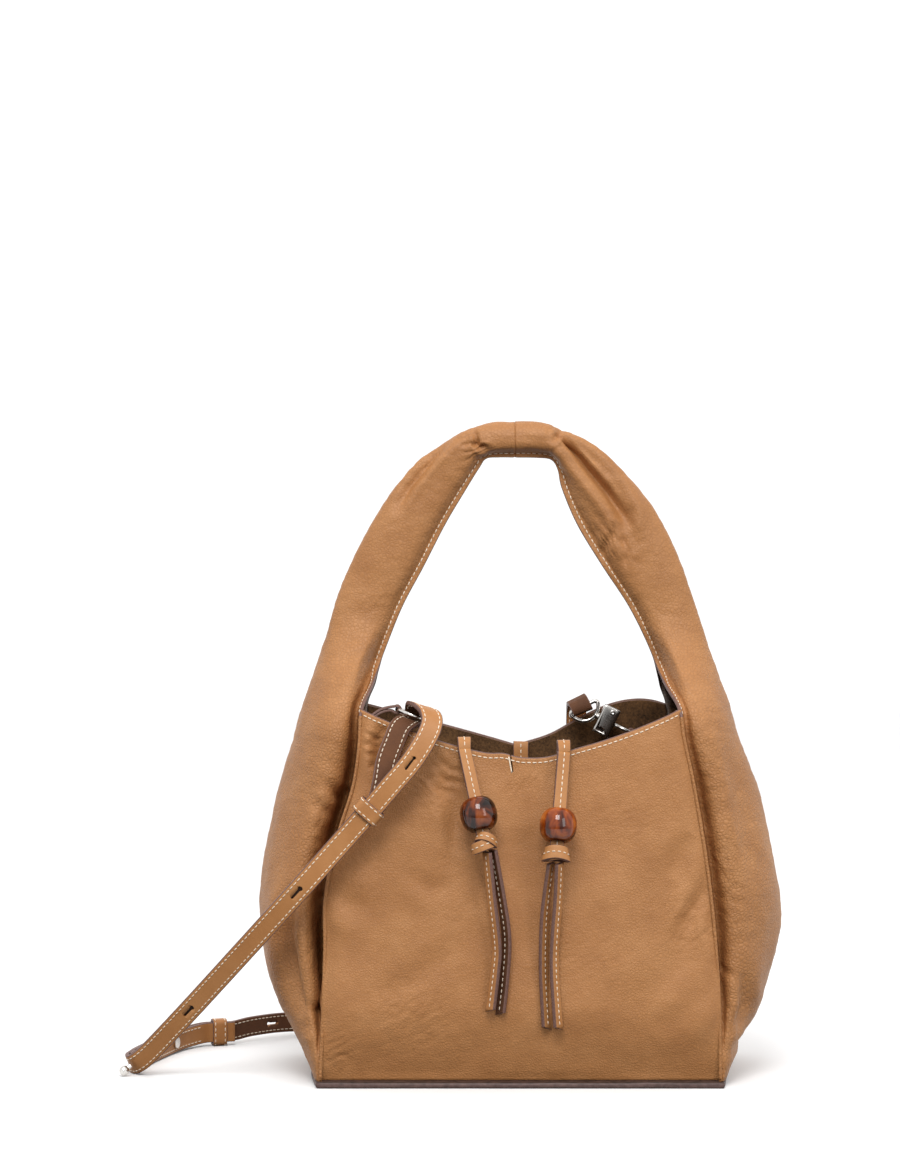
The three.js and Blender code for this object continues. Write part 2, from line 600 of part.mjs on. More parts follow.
// A ball stud on a short neck; direction runs from the foot of the neck to the ball.
function ballStud(name, ballCentre, direction, neckLength) {
  const arc = Array.from({ length: 9 }, (_, i) => {
    const angle = mix(-Math.PI / 2 + 0.46, Math.PI / 2, i / 8);
    return new THREE.Vector2(STUD.ball * Math.cos(angle), STUD.ball * Math.sin(angle));
  });
  arc[8].x = 0;
  const profile = [new THREE.Vector2(0, -neckLength), new THREE.Vector2(STUD.neck, -neckLength), ...arc];
  const stud = add(name, new THREE.LatheGeometry(profile, 16), nickel());
  stud.quaternion.setFromUnitVectors(vec(0, 1, 0), direction.clone().normalize());
  stud.position.copy(ballCentre);
}

ballStud('stud_fold', vec(-226.2, -23.6, 3.1), vec(-4.4, -2.6, -3.4), 4.6);

// The second stud joins the layers on the floor: a screw head in front, its ball behind.
const studPlace = layeredFrame(layeredRoute.length - 5);
const throughStrap = vec(0, 0, 1).transformDirection(studPlace);
const studFoot = vec(0, 0, 0).applyMatrix4(studPlace);
const strapFace = LAYER_OFFSET + STRAP_THICKNESS / 2 + 0.3;
const ballReach = strapFace + 1.6 + STUD.ball;
ballStud('stud_return', studFoot.clone().addScaledVector(throughStrap, ballReach), throughStrap, 1.6 + STUD.ball);
const screwHead = pin(3.2, 1.1).rotateX(Math.PI / 2).translate(0, 0, -strapFace - 0.55);
add('stud_screw', screwHead, nickel()).applyMatrix4(studPlace);

export default bag;
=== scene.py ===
"""Looks of the leather bucket bag: shells, handle, drawstring, strap, hardware and their materials."""
import math

import bmesh
import bpy
import numpy as np
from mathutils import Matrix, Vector, noise


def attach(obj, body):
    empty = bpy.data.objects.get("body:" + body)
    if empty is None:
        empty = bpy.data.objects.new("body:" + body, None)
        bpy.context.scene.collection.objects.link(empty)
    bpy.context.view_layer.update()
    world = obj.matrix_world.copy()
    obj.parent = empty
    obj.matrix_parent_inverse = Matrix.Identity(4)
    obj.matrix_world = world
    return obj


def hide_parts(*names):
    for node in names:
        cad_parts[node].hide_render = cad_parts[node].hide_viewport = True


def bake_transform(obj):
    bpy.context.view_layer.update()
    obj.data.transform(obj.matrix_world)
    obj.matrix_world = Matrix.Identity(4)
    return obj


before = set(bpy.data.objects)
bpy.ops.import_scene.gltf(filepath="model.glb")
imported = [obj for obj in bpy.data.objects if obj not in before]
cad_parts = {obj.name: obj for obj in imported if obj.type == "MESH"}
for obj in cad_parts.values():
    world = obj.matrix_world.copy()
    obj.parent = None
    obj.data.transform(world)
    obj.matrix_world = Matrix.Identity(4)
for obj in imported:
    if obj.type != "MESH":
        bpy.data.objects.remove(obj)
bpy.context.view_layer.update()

MM = 0.001

# ---- Driving values, in millimetres; they repeat the part's own ----
LEATHER = 1.9
BASE_TOP = 3.4
CORNER_HEIGHT = 210.0
RIM_HALF_WIDTH = 90.5
STRAP_WIDTH = 12.0
STRAP_THICKNESS = 2.4
LAYER_OFFSET = 1.65
TIE_WIDTH = 7.5
TIE_THICKNESS = 1.8
TAIL_WIDTH = 6.0
TAIL_THICKNESS = 2.3
RIM_LOW = 184.5
RIM_RISE = 27
STITCH_PITCH = 3.1
# Steps along the curves that are built from points.
STRAP_STEP = 1.6
TAIL_STEP = 1.5
TAB_STEP = 0.8
WIRE_STEP = 0.5


# ---- Camera ----
def make_camera():
    data = bpy.data.cameras.new("camera")
    data.lens = 82
    data.sensor_width = 36
    camera = bpy.data.objects.new("camera", data)
    bpy.context.scene.collection.objects.link(camera)
    camera.location = (-0.0394, -1.56, 0.280)
    camera.rotation_euler = (math.radians(90), 0, 0)
    bpy.context.scene.camera = camera


make_camera()


# ---- Materials ----
def srgb(r, g, b):
    """Linear colour from 0-255 display values."""
    def linear(c):
        c /= 255
        return c / 12.92 if c <= 0.04045 else ((c + 0.055) / 1.055) ** 2.4
    return (linear(r), linear(g), linear(b), 1)


def set_values(tree, node, values):
    """Set a node's properties and its sockets, by name or number; a value that is itself a socket is linked."""
    for key, value in values.items():
        if isinstance(key, str) and key not in node.inputs:
            setattr(node, key, value)
        elif isinstance(value, bpy.types.NodeSocket):
            tree.links.new(value, node.inputs[key])
        else:
            node.inputs[key].default_value = value


def add_node(tree, kind, *inputs, out=0, **values):
    """Make a shader node and give one of its outputs; inputs go to its sockets in order."""
    made = tree.nodes.new("ShaderNode" + kind)
    set_values(tree, made, values | dict(enumerate(inputs)))
    return made.outputs[out]


def noise_node(tree, place, scale, detail, roughness=0.5, **values):
    return add_node(tree, "TexNoise", Vector=place, Scale=scale, Detail=detail, Roughness=roughness, **values)


def ramp(tree, source, stops):
    made = tree.nodes.new("ShaderNodeValToRGB")
    elements = made.color_ramp.elements
    while len(elements) < len(stops):
        elements.new(0.5)
    for element, (place, colour) in zip(elements, stops):
        element.position = place
        element.color = colour
    tree.links.new(source, made.inputs["Fac"])
    return made.outputs["Color"]


def material(name):
    """A new material, its node tree and the object coordinates in it."""
    made = bpy.data.materials.new(name)
    made.use_nodes = True
    return made, made.node_tree, add_node(made.node_tree, "TexCoord", out="Object")


def shaded(made, values):
    """The material, with values on its shader's sockets."""
    set_values(made.node_tree, made.node_tree.nodes["Principled BSDF"], values)
    return made


PEBBLE_WARP = (0.0022, 0.0022, 0.0022)
CALM_SHARE = 0.45


def leather_material(name, low, mid, high, roughness=0.5, grain=1.0, cell=620.0, calm=None):
    """Grained leather: mottled colour, pebbles from cells, fine pores, and painted shade that darkens the colour in the
    crevices between pebbles.

    calm is a pair of heights in metres between which the pebbles fade to CALM_SHARE; stretched leather is smoother."""
    made, tree, place = material(name)
    mottle = noise_node(tree, place, 38.0, 6.0, 0.62)
    colour = ramp(tree, mottle, [(0.3, low), (0.52, mid), (0.75, high)])

    warp = noise_node(tree, place, 190.0, 2.0, out="Color")
    bend = add_node(tree, "VectorMath", warp, PEBBLE_WARP, place, operation="MULTIPLY_ADD")
    pebbles = add_node(tree, "TexVoronoi", feature="DISTANCE_TO_EDGE", Vector=bend, Scale=cell)
    pebble_height = add_node(tree, "Math", pebbles, 0.45, operation="POWER", use_clamp=True)
    fade = 1.0
    if calm:
        fade = add_node(tree, "MapRange", add_node(tree, "SeparateXYZ", place, out="Z"), *calm, 1.0, CALM_SHARE)
    pebbled = add_node(tree, "Math", pebble_height, fade, operation="MULTIPLY")
    pores = noise_node(tree, place, 1900.0, 3.0, 0.6)
    swell = noise_node(tree, place, 120.0, 3.0, 0.55)
    first = add_node(tree, "Bump", Strength=0.42 * grain, Distance=0.0008, Height=pebbled)
    second = add_node(tree, "Bump", Strength=0.18 * grain, Distance=0.0002, Height=pores, Normal=first)
    third = add_node(tree, "Bump", Strength=0.2 * grain, Distance=0.001, Height=swell, Normal=second)

    # painted shade: the colour is darkened in the crevices between the pebbles
    crevice_shade = add_node(tree, "Mix", data_type="RGBA", blend_type="MULTIPLY", Factor=0.13 * grain, A=colour,
                       B=pebble_height, out="Result")
    rough = add_node(tree, "MapRange", mottle, 0.0, 1.0, roughness - 0.06, roughness + 0.08)
    return shaded(made, {"Base Color": crevice_shade, "Roughness": rough, "Normal": third, "Specular IOR Level": 0.35})


def suede_material(name, dark, light):
    """Brushed suede: a fine nap over broad darker and lighter patches."""
    made, tree, place = material(name)
    nap = noise_node(tree, place, 700.0, 8.0, 0.75)
    patches = add_node(tree, "Math", noise_node(tree, place, 60.0, 4.0, 0.6), 0.3, operation="MULTIPLY")
    both = add_node(tree, "Math", nap, 0.7, patches, operation="MULTIPLY_ADD")
    return shaded(made, {
        "Base Color": ramp(tree, both, [(0.36, dark), (0.66, light)]),
        "Normal": add_node(tree, "Bump", Strength=0.7, Distance=0.0006, Height=nap),
        "Roughness": 0.95, "Sheen Weight": 0.25, "Specular IOR Level": 0.1})


def plain_material(name, dark, light, roughness, scale=900.0, bump_strength=0.3, metallic=0.0):
    """Small-scale variation for paint, thread and metal."""
    made, tree, place = material(name)
    grain = noise_node(tree, place, scale, 4.0, 0.6)
    return shaded(made, {
        "Base Color": ramp(tree, grain, [(0.35, dark), (0.68, light)]),
        "Normal": add_node(tree, "Bump", Strength=bump_strength, Distance=0.0002, Height=grain),
        "Roughness": roughness, "Metallic": metallic})


def tortoise_material(name, deep, dark, amber, light):
    """Polished tortoiseshell: swirls drawn out along the bead."""
    made, tree, place = material(name)
    stretch = add_node(tree, "Mapping", Vector=place, Scale=(1.3, 1.0, 0.7))
    swirl = noise_node(tree, stretch, 75.0, 3.0, Distortion=1.1)
    colour = ramp(tree, swirl, [(0.34, deep), (0.45, dark), (0.56, amber), (0.72, light)])
    return shaded(made, {"Base Color": colour, "Roughness": 0.06, "Specular IOR Level": 0.42})


TAN_COLOURS = (srgb(167, 113, 66), srgb(178, 123, 74), srgb(189, 134, 85))
TAN = leather_material("tan_leather", *TAN_COLOURS, cell=640.0)
TAN_SIDE = leather_material("tan_side_leather", *TAN_COLOURS, grain=1.5, cell=480.0, calm=(0.2, 0.28))
STRAP_TOP = leather_material("strap_leather", srgb(164, 110, 62), srgb(175, 120, 70), srgb(185, 131, 81),
                             roughness=0.48, grain=0.3, cell=900.0)
STRAP_UNDER = leather_material("strap_underside", srgb(78, 46, 25), srgb(92, 56, 32), srgb(108, 68, 40),
                               roughness=0.75, grain=0.45, cell=900.0)
SUEDE = suede_material("suede", srgb(42, 27, 15), srgb(122, 87, 54))
EDGE = plain_material("edge_paint", srgb(94, 64, 54), srgb(118, 86, 76), 0.5)
BASE_EDGE = plain_material("base_edge", srgb(36, 22, 16), srgb(72, 50, 42), 0.55, scale=260.0)
BASE_BAND = plain_material("base_band", srgb(70, 50, 46), srgb(104, 80, 74), 0.55, scale=300.0)
THREAD = plain_material("thread", srgb(222, 202, 176), srgb(250, 238, 220), 0.6, scale=2500.0, bump_strength=0.5)
NICKEL = plain_material("nickel", (0.62, 0.6, 0.57, 1), (0.74, 0.72, 0.69, 1), 0.16, scale=400.0,
                        bump_strength=0.04, metallic=1.0)
HOOK_METAL = plain_material("hook_metal", (0.34, 0.32, 0.3, 1), (0.62, 0.6, 0.57, 1), 0.2, scale=170.0,
                            bump_strength=0.1, metallic=1.0)
# painted shade: a dark material for plates set inside the keyholes and the hook's slot, standing in for the shadow seen
# through them
HOLE_SHADE = plain_material("slot_lining", srgb(40, 26, 18), srgb(58, 38, 26), 0.8)
TORTOISE = {
    "left": tortoise_material("tortoise_dark", srgb(22, 7, 3), srgb(54, 20, 7), srgb(112, 48, 13), srgb(158, 80, 24)),
    "right": tortoise_material("tortoise_amber", srgb(64, 22, 5), srgb(122, 50, 10), srgb(158, 76, 18),
                               srgb(188, 112, 48)),
}
# A strap's top, underside and edge, with the leather's face outwards or its underside outwards.
FACE_OUT = [STRAP_TOP, STRAP_UNDER, EDGE]
UNDER_OUT = [STRAP_UNDER, STRAP_TOP, EDGE]


# ---- Mesh building ----
def mesh_object(name, points, faces, materials, face_materials=None, smooth=True, weld=False):
    """Points in millimetres become an object whose mesh holds its place in the bag's frame."""
    data = bpy.data.meshes.new(name)
    data.from_pydata([tuple(float(c) * MM for c in p) for p in points], [], faces)
    for one in materials:
        data.materials.append(one)
    if face_materials is not None:
        data.polygons.foreach_set("material_index", np.array(face_materials, dtype=np.int32))
    data.polygons.foreach_set("use_smooth", [smooth] * len(data.polygons))
    made = bpy.data.objects.new(name, data)
    bpy.context.scene.collection.objects.link(made)
    work = bmesh.new()
    work.from_mesh(data)
    if weld:
        bmesh.ops.remove_doubles(work, verts=work.verts, dist=1e-6)
    bmesh.ops.recalc_face_normals(work, faces=work.faces)
    work.to_mesh(data)
    work.free()
    data.update()
    return made


def ring_faces(count, sides, closed=False, first=0):
    """Faces between rings of points that follow each other in the list of points, from number first on."""
    faces = []
    for r in range(count if closed else count - 1):
        a, b = first + r * sides, first + (r + 1) % count * sides
        faces += [[a + k, a + (k + 1) % sides, b + (k + 1) % sides, b + k] for k in range(sides)]
    return faces


def ring_caps(count, sides, first=0):
    """The faces that close the first and the last ring."""
    last = first + (count - 1) * sides
    return [[first + k for k in range(sides)][::-1], [last + k for k in range(sides)]]


def prism(name, low, high, made):
    """A solid between two outlines with the same number of points."""
    n = len(low)
    faces = [list(range(n)), list(range(2 * n - 1, n - 1, -1))]
    faces += [[k, k + n, (k + 1) % n + n, (k + 1) % n] for k in range(n)]
    return mesh_object(name, [*low, *high], faces, [made], smooth=False)


def catmull(points, t):
    """Points of a Catmull-Rom curve through the rows of points, at parameters t from 0 to 1."""
    points = np.asarray(points, float)
    t = np.asarray(t, float)
    padded = np.vstack([2 * points[0] - points[1], points, 2 * points[-1] - points[-2]])
    place = np.clip(t, 0, 1) * (len(points) - 1)
    k = np.minimum(place.astype(int), len(points) - 2)
    f = (place - k)[..., None]
    a, b, c, d = (padded[k + i] for i in range(4))
    return 0.5 * (2 * b + (c - a) * f + (2 * a - 5 * b + 4 * c - d) * f ** 2 + (3 * b - a - 3 * c + d) * f ** 3)


def run_along(path):
    """The distance along a path at each of its points."""
    return np.concatenate([[0], np.cumsum(np.linalg.norm(np.diff(path, axis=0), axis=1))])


def at_run(place, run, rows):
    """Rows of three numbers, read at places along a run."""
    return np.stack([np.interp(place, run, rows[:, i]) for i in range(3)], axis=-1)


def even_path(points, spacing):
    """The same curve in even steps along its length."""
    fine = catmull(points, np.linspace(0, 1, 40 * len(points)))
    run = run_along(fine)
    count = max(2, int(round(run[-1] / spacing)) + 1)
    return at_run(np.linspace(0, run[-1], count), run, fine)


def directions(path):
    steps = np.gradient(path, axis=0)
    return steps / np.linalg.norm(steps, axis=1, keepdims=True)


def unit(v):
    v = np.asarray(v, float)
    return v / np.maximum(np.linalg.norm(v, axis=-1, keepdims=True), 1e-9)


def frames(path, across):
    """Directions along a path, across it and up from it, square to each other."""
    forward = directions(path)
    across = unit(across - np.sum(across * forward, axis=1, keepdims=True) * forward)
    return forward, across, np.cross(forward, across)


def smoothstep(low, high, x):
    t = np.clip((np.asarray(x, float) - low) / (high - low), 0, 1)
    return t * t * (3 - 2 * t)


def ripple(points, scale, seed):
    """Smooth noise, -1 to 1, at each point; scale is the size of its features in millimetres."""
    shape = points.shape[:-1]
    flat = points.reshape(-1, 3) / scale
    return np.array([noise.noise(Vector(p) + Vector((seed, seed * 0.7, -seed))) for p in flat]).reshape(shape)


def polyline_distance(x, z, line):
    """Distance in the X-Z plane to a polyline, and how far along it from 0 to 1."""
    best = np.full(x.shape, 1e9)
    along = np.zeros(x.shape)
    line = np.asarray(line, float)
    for i, (a, b) in enumerate(zip(line[:-1], line[1:])):
        run = b - a
        t = np.clip(((x - a[0]) * run[0] + (z - a[1]) * run[1]) / (run @ run), 0, 1)
        d = np.hypot(x - a[0] - t * run[0], z - a[1] - t * run[1])
        nearer = d < best
        best = np.where(nearer, d, best)
        along = np.where(nearer, (i + t) / (len(line) - 1), along)
    return best, along


def crease(x, z, line, width, depth, lips=0.35):
    """Height change of a fold pressed along a line, with raised lips, fading at both ends."""
    d, along = polyline_distance(x, z, line)
    fade = np.sin(np.pi * np.clip(along, 0.02, 0.98)) ** 0.6
    valley = np.exp(-(d / width) ** 2)
    shoulder = np.exp(-((d - 1.9 * width) / (0.9 * width)) ** 2)
    return fade * depth * (lips * shoulder - valley)


def grid_normals(points):
    along_u = np.gradient(points, axis=0)
    along_v = np.gradient(points, axis=1)
    return unit(np.cross(along_u, along_v))


def shell(name, outer, inward, thickness, materials, painted=("first", "last", "low", "high"), paint_row=0):
    """A sheet of leather: outer face, inner face and a rounded edge all round.

    outer and inward are grids of points and of unit directions; materials are outer, inner, edge.
    painted names the sides with a painted edge: first and last row, low and high column from paint_row on."""
    rows, columns = outer.shape[:2]
    inner = outer + inward * thickness
    count = rows * columns
    index = np.arange(count).reshape(rows, columns)
    quads = np.stack([index[:-1, :-1], index[1:, :-1], index[1:, 1:], index[:-1, 1:]], axis=-1).reshape(-1, 4)
    faces = quads.tolist() + (quads[:, ::-1] + count).tolist()
    which = [0] * len(quads) + [1] * len(quads)
    rim = ([(i, 0) for i in range(rows - 1)] + [(rows - 1, j) for j in range(columns - 1)]
           + [(i, columns - 1) for i in range(rows - 1, 0, -1)] + [(0, j) for j in range(columns - 1, 0, -1)])
    points = [outer.reshape(-1, 3), inner.reshape(-1, 3)]
    middle = []
    for i, j in rim:
        near = outer[min(max(i, 1), rows - 2), min(max(j, 1), columns - 2)]
        away = unit(outer[i, j] - near)
        middle.append(outer[i, j] + inward[i, j] * thickness * 0.5 + away * thickness * 0.3)
    points.append(np.array(middle))
    for k, (i, j) in enumerate(rim):
        m, n = rim[(k + 1) % len(rim)]
        a, b = int(index[i, j]), int(index[m, n])
        p, q = 2 * count + k, 2 * count + (k + 1) % len(rim)
        faces += [[a, b, q, p], [p, q, b + count, a + count]]
        where = ("low" if j == n == 0 else "high" if j == n == columns - 1 else "first" if i == m == 0 else "last")
        which += [2, 2] if where in painted and i >= paint_row else [0, 0]
    return mesh_object(name, np.vstack(points), faces, materials, which)


def ribbon(name, path, across, width, thickness, materials, slant=0.0):
    """A flat strap along a path; materials are top, underside, edge. The top faces along path x across.

    slant cuts the far end askew, as a share of the width."""
    path = np.asarray(path, float)
    forward, across, up = frames(path, across)
    section = [(-1, -0.62), (-0.985, -0.95), (-0.93, -1), (-0.5, -1), (0, -1), (0.5, -1), (0.93, -1), (0.985, -0.95),
               (1, -0.62), (1.012, 0), (1, 0.62), (0.985, 0.95), (0.93, 1), (0.5, 1.03), (0, 1.05), (-0.5, 1.03),
               (-0.93, 1), (-0.985, 0.95), (-1, 0.62), (-1.012, 0)]
    edge_from = 0.955
    sides = len(section)
    slots = [2 if abs((section[i][0] + section[(i + 1) % sides][0]) / 2) > edge_from else
             (0 if section[i][1] > 0 else 1) for i in range(sides)]
    points = []
    for k, centre in enumerate(path):
        skew = slant * width if k == len(path) - 1 else 0
        points += [centre + across[k] * a * width / 2 + up[k] * b * thickness / 2 + forward[k] * skew * a
                   for a, b in section]
    faces = ring_faces(len(path), sides) + ring_caps(len(path), sides)
    return mesh_object(name, points, faces, materials, slots * (len(path) - 1) + [2, 2])


# Rings of one stitch: place along its half length, share of the thread's radius, height as a share of half of it.
STITCH_RINGS = [(-1.0, 0.35, -0.9), (-0.8, 0.8, -0.1), (-0.3, 1.0, 0.35), (0.3, 1.0, 0.35), (0.8, 0.8, -0.1),
                (1.0, 0.35, -0.9)]
THREAD_SIDES = 6
THREAD_LIFT = 0.1
THREAD_FLATNESS = 0.75


def stitches(name, path, normals, pitch=STITCH_PITCH, radius=0.33, length=0.76, skew=0.0):
    """A row of thread stitches lying on a surface along a path; length is a share of the pitch."""
    path, normals = np.asarray(path, float), unit(normals)
    run = run_along(path)
    count = max(1, int(run[-1] / pitch))
    points, faces = [], []
    for c in (np.arange(count) + 0.5) * run[-1] / count:
        up = unit(at_run(c, run, normals))
        along = unit(at_run(min(c + 0.5, run[-1]), run, path) - at_run(max(c - 0.5, 0), run, path))
        along = unit(along + skew * unit(np.cross(along, up)))
        side = unit(np.cross(along, up))
        faces += ring_faces(len(STITCH_RINGS), THREAD_SIDES, first=len(points))
        faces += ring_caps(len(STITCH_RINGS), THREAD_SIDES, len(points))
        for place, fat, high in STITCH_RINGS:
            centre = at_run(c, run, path) + along * place * pitch * length / 2
            centre = centre + up * (THREAD_LIFT + high * radius * 0.5)
            for angle in np.arange(THREAD_SIDES) * 2 * math.pi / THREAD_SIDES:
                ring = side * math.cos(angle) + up * math.sin(angle) * THREAD_FLATNESS
                points.append(centre + ring * radius * fat)
    return mesh_object(name, points, faces, [THREAD])


def revolve(name, profile, centre, axis, made, segments=64):
    """A body of revolution; profile rows are radius and height, closing on itself or ending on the axis."""
    turn = Vector((0, 0, 1)).rotation_difference(Vector(axis).normalized()).to_matrix()
    n = len(profile)
    points = [np.array(turn @ Vector((r * math.cos(a), r * math.sin(a), h))) + np.array(centre)
              for a in 2 * math.pi * np.arange(segments) / segments for r, h in profile]
    faces = [[k * n + i, (k + 1) % segments * n + i, (k + 1) % segments * n + i + 1, k * n + i + 1]
             for k in range(segments) for i in range(n - 1)]
    return mesh_object(name, points, faces, [made], weld=True)


WIRE_SIDES = 16


def wire(name, path, radius, node):
    """A round nickel wire bent into a closed loop, in place of a CAD node."""
    path = np.asarray(path, float)
    forward = unit(np.roll(path, -1, axis=0) - np.roll(path, 1, axis=0))
    centre = path.mean(axis=0)
    plane = unit(np.cross(path[0] - centre, path[len(path) // 4] - centre))
    side = unit(np.cross(forward, plane))
    points = [p + (s * math.cos(a) + plane * math.sin(a)) * radius
              for p, s in zip(path, side) for a in 2 * math.pi * np.arange(WIRE_SIDES) / WIRE_SIDES]
    made = mesh_object(name, points, ring_faces(len(path), WIRE_SIDES, closed=True), [NICKEL])
    finish_piece(made, "bag", "nickel", node)


def finish_piece(obj, body, slot_name, *nodes):
    if nodes:
        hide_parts(*nodes)
    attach(obj, body)
    return obj


def thread_row(name, path, across, lift, body, span=slice(None), shift=0.0, face=1, **look):
    """A row of stitches on one face of a strap: lift above its middle, shift across it."""
    _, across, up = frames(path, across)
    row = path + across * shift + up * lift * face
    return finish_piece(stitches(name, row[span], up[span] * face, **look), body, "strap_leather")


# ---- Crossbody strap: two layers, from the left ring to the hook ----
DIAGONAL_ACROSS = np.array([0.747, 0, -0.664])
RING_ACROSS = np.array([0.95, 0, -0.31])
UPRIGHT_ACROSS = np.array([0, 0, -1.0])
LEVEL_ACROSS = np.array([1.0, 0, 0])
EYE_BAR = np.array([0.9, 0, 0.436])
EYE_UP = np.array([-0.436, 0, 0.9])
LAYERED_ROUTE = [
    (-79.4, -69.1, 161.6), (-84.7, -69, 155.6), (-104.4, -68.5, 133.4), (-124.1, -68, 111.2), (-155, -56, 76.6),
    (-187.2, -38, 40.5), (-211, -24, 14.6), (-219.5, -19, 7.4), (-222.5, -12.5, 6.3), (-221.5, -4, 6.3),
    (-218, 12, 6.3), (-213, 32, 6.3), (-207, 52, 6.6), (-200, 67, 7.2), (-190, 78.6, 8.1), (-181, 81.4, 8.1),
    (-172, 84.2, 8.1)]
OUTER_FROM_RING = [
    (-59, -38, 208.3), (-59, -39, 210.5), (-58.8, -42.5, 212.8), (-57.3, -47.5, 213.3), (-54, -53.5, 212.4),
    (-50.6, -59, 209.6), (-49.5, -63.4, 204.5), (-52.8, -67, 196), (-61, -69.8, 183.2), (-71, -70.8, 171.5)]
INNER_FROM_RING = [
    (-59, -37.7, 206.8), (-59.2, -39.2, 204.8), (-60.4, -43, 203.9), (-63, -48.8, 204.6), (-67.6, -54.8, 201.6),
    (-71.3, -58.8, 193), (-75, -62.4, 183), (-76.9, -65.8, 171.5)]
OUTER_BEHIND = [
    (-161, 95, 9.4), (-141, 114, 8.8), (-110, 126, 7), (-66, 127, 6.4), (-28, 119, 7.5), (5, 105, 13),
    (26, 88, 36), (33, 76, 72), (35.5, 69, 112), (36.5, 64, 152), (36.6, 57.5, 186), (36.7, 54.6, 203),
    (36.4, 49, 211.3), (36, 41.5, 213.4)]
CURL_CENTRE = np.array([38.6, 35, 208.9])
CURL_RADIUS = 4.25


def across_strap(point):
    """The direction across the strap at a point of its route."""
    x, y, z = point
    if -100 < x < 0 and y < 0:
        blend = np.clip((200 - z) / 30, 0, 1)
        return unit(RING_ACROSS * (1 - blend) + DIAGONAL_ACROSS * blend)
    if x > -100:
        level = np.clip((z - 7) / 50, 0, 1)
        at_eye = np.clip((z - 203) / 8, 0, 1)
        flat = UPRIGHT_ACROSS * (1 - level) - LEVEL_ACROSS * level
        return unit(flat * (1 - at_eye) - EYE_BAR * at_eye)
    upright = np.clip((y + 22) / 14, 0, 1) * np.clip((22 - z) / 12, 0, 1)
    return unit(DIAGONAL_ACROSS * (1 - upright) + UPRIGHT_ACROSS * upright)


def strap_layer(offset):
    """The route that the two layers share, moved off its middle."""
    route = np.array(LAYERED_ROUTE, float)
    up = frames(route, np.array([across_strap(p) for p in route]))[2]
    return list(route + up * offset)


def curl_points():
    """The strap's end, curled round the bar of the eye."""
    angles = np.radians([85, 115, 145, 175, 205, 222])
    return [CURL_CENTRE + CURL_RADIUS * (EYE_UP * np.sin(a) + np.array([0, 1, 0]) * np.cos(a)) for a in angles]


def keyhole(name, centre, along, across, up, head, depth=3.0, long=9.2):
    """A slot with a round head, as a prism through one strap layer."""
    slot = 0.62
    outline = [(-slot * math.cos(a), -long / 2 + slot - slot * math.sin(a)) for a in np.linspace(0, math.pi, 7)]
    outline += [(head * math.cos(a), long / 2 - head + head * math.sin(a)) for a in np.linspace(-1, math.pi + 1, 14)]
    low, high = ([centre + across * x + along * y + up * z for x, y in outline] for z in (-depth, depth))
    return prism(name, low, high, HOLE_SHADE)


def cut(obj, cutters):
    for tool in cutters:
        modifier = obj.modifiers.new("cut", "BOOLEAN")
        modifier.object = tool
        modifier.solver = "EXACT"
        modifier.operation = "DIFFERENCE"
    graph = bpy.context.evaluated_depsgraph_get()
    result = bpy.data.meshes.new_from_object(obj.evaluated_get(graph))
    obj.modifiers.clear()
    obj.data = result
    for tool in cutters:
        bpy.data.objects.remove(tool)


# Places near the keyholes' middles, and the radius of their heads.
KEYHOLES = [((-61.5, -69, 183), 0.95), ((-124, -69, 111), 1.45), ((-187, -40, 40), 1.45), ((-150, 105, 9), 1.45)]
DOUBLED_KEYHOLES = 3
# how far below the top layer's middle the painted-shade plate in a keyhole sits
SHADE_PLATE_DEPTH = 0.9


def make_keyholes(layer, path, across):
    """Cut the keyholes, and set a dark plate of painted shade inside each one that the second layer lies behind."""
    forward, side, up = frames(path, across)
    tools = []
    for number, (place, head) in enumerate(KEYHOLES):
        k = int(np.argmin(np.linalg.norm(path - np.array(place), axis=1)))
        tools.append(keyhole(f"keyhole_tool_{number}", path[k], -forward[k], side[k], up[k], head))
        if number < DOUBLED_KEYHOLES:
            # a thin dark plate in the hole: painted shade for the gap down to the second layer
            shade_plate = keyhole(f"keyhole_lining_{number}", path[k] - up[k] * SHADE_PLATE_DEPTH, -forward[k], side[k], up[k],
                             head + 0.1, depth=0.15, long=9.4)
            finish_piece(shade_plate, "bag", "strap_leather")
    cut(layer, tools)


def make_strap():
    thread_inset = 1.9
    long_route = OUTER_FROM_RING + strap_layer(LAYER_OFFSET) + OUTER_BEHIND + curl_points()
    built = []
    for name, points, faces in (("strap_long_layer", long_route, FACE_OUT),
                                ("strap_short_layer", INNER_FROM_RING + strap_layer(-LAYER_OFFSET), UNDER_OUT)):
        path = even_path(points, STRAP_STEP)
        across = np.array([across_strap(p) for p in path])
        built.append((ribbon(name, path, across, STRAP_WIDTH, STRAP_THICKNESS, faces), path, across))
    make_keyholes(*built[0])
    for (layer, path, across), node, far_end in zip(built, ("strap_outer", "strap_inner"), ("object", "bare")):
        finish_piece(layer, "bag", "strap_leather", node)
        rows = [thread_row(f"{layer.name}_thread_{tag}_{word}", path, across, STRAP_THICKNESS / 2, "bag",
                           slice(2, stop), side * (STRAP_WIDTH / 2 - thread_inset), face, radius=0.3, length=0.72)
                for side, tag in ((1, "low"), (-1, "high"))
                for face, word, stop in ((1, "face", -2), (-1, "back", -14))]


make_strap()


# ---- Body shells ----
def closing(z):
    """0 below the rim corners, 1 where the two edges of a gusset meet above them."""
    return smoothstep(CORNER_HEIGHT - 3, CORNER_HEIGHT + 30, z)


def seam_half_depth(z):
    return 60 - 10 * np.minimum(1, z / CORNER_HEIGHT) ** 1.5


# Half width and height of the seam between the front panel and each gusset.
SEAM = {
    -1: [(113.2, 3.4), (111.6, 45), (110.6, 78), (110.4, 106), (103.6, 140), (95, 168), (91.6, 191), (90.4, 211)],
    1: [(113.2, 3.4), (112.8, 45), (111.2, 74), (108.6, 104), (104.7, 134), (98.8, 170), (93.6, 195), (91.2, 212)],
}
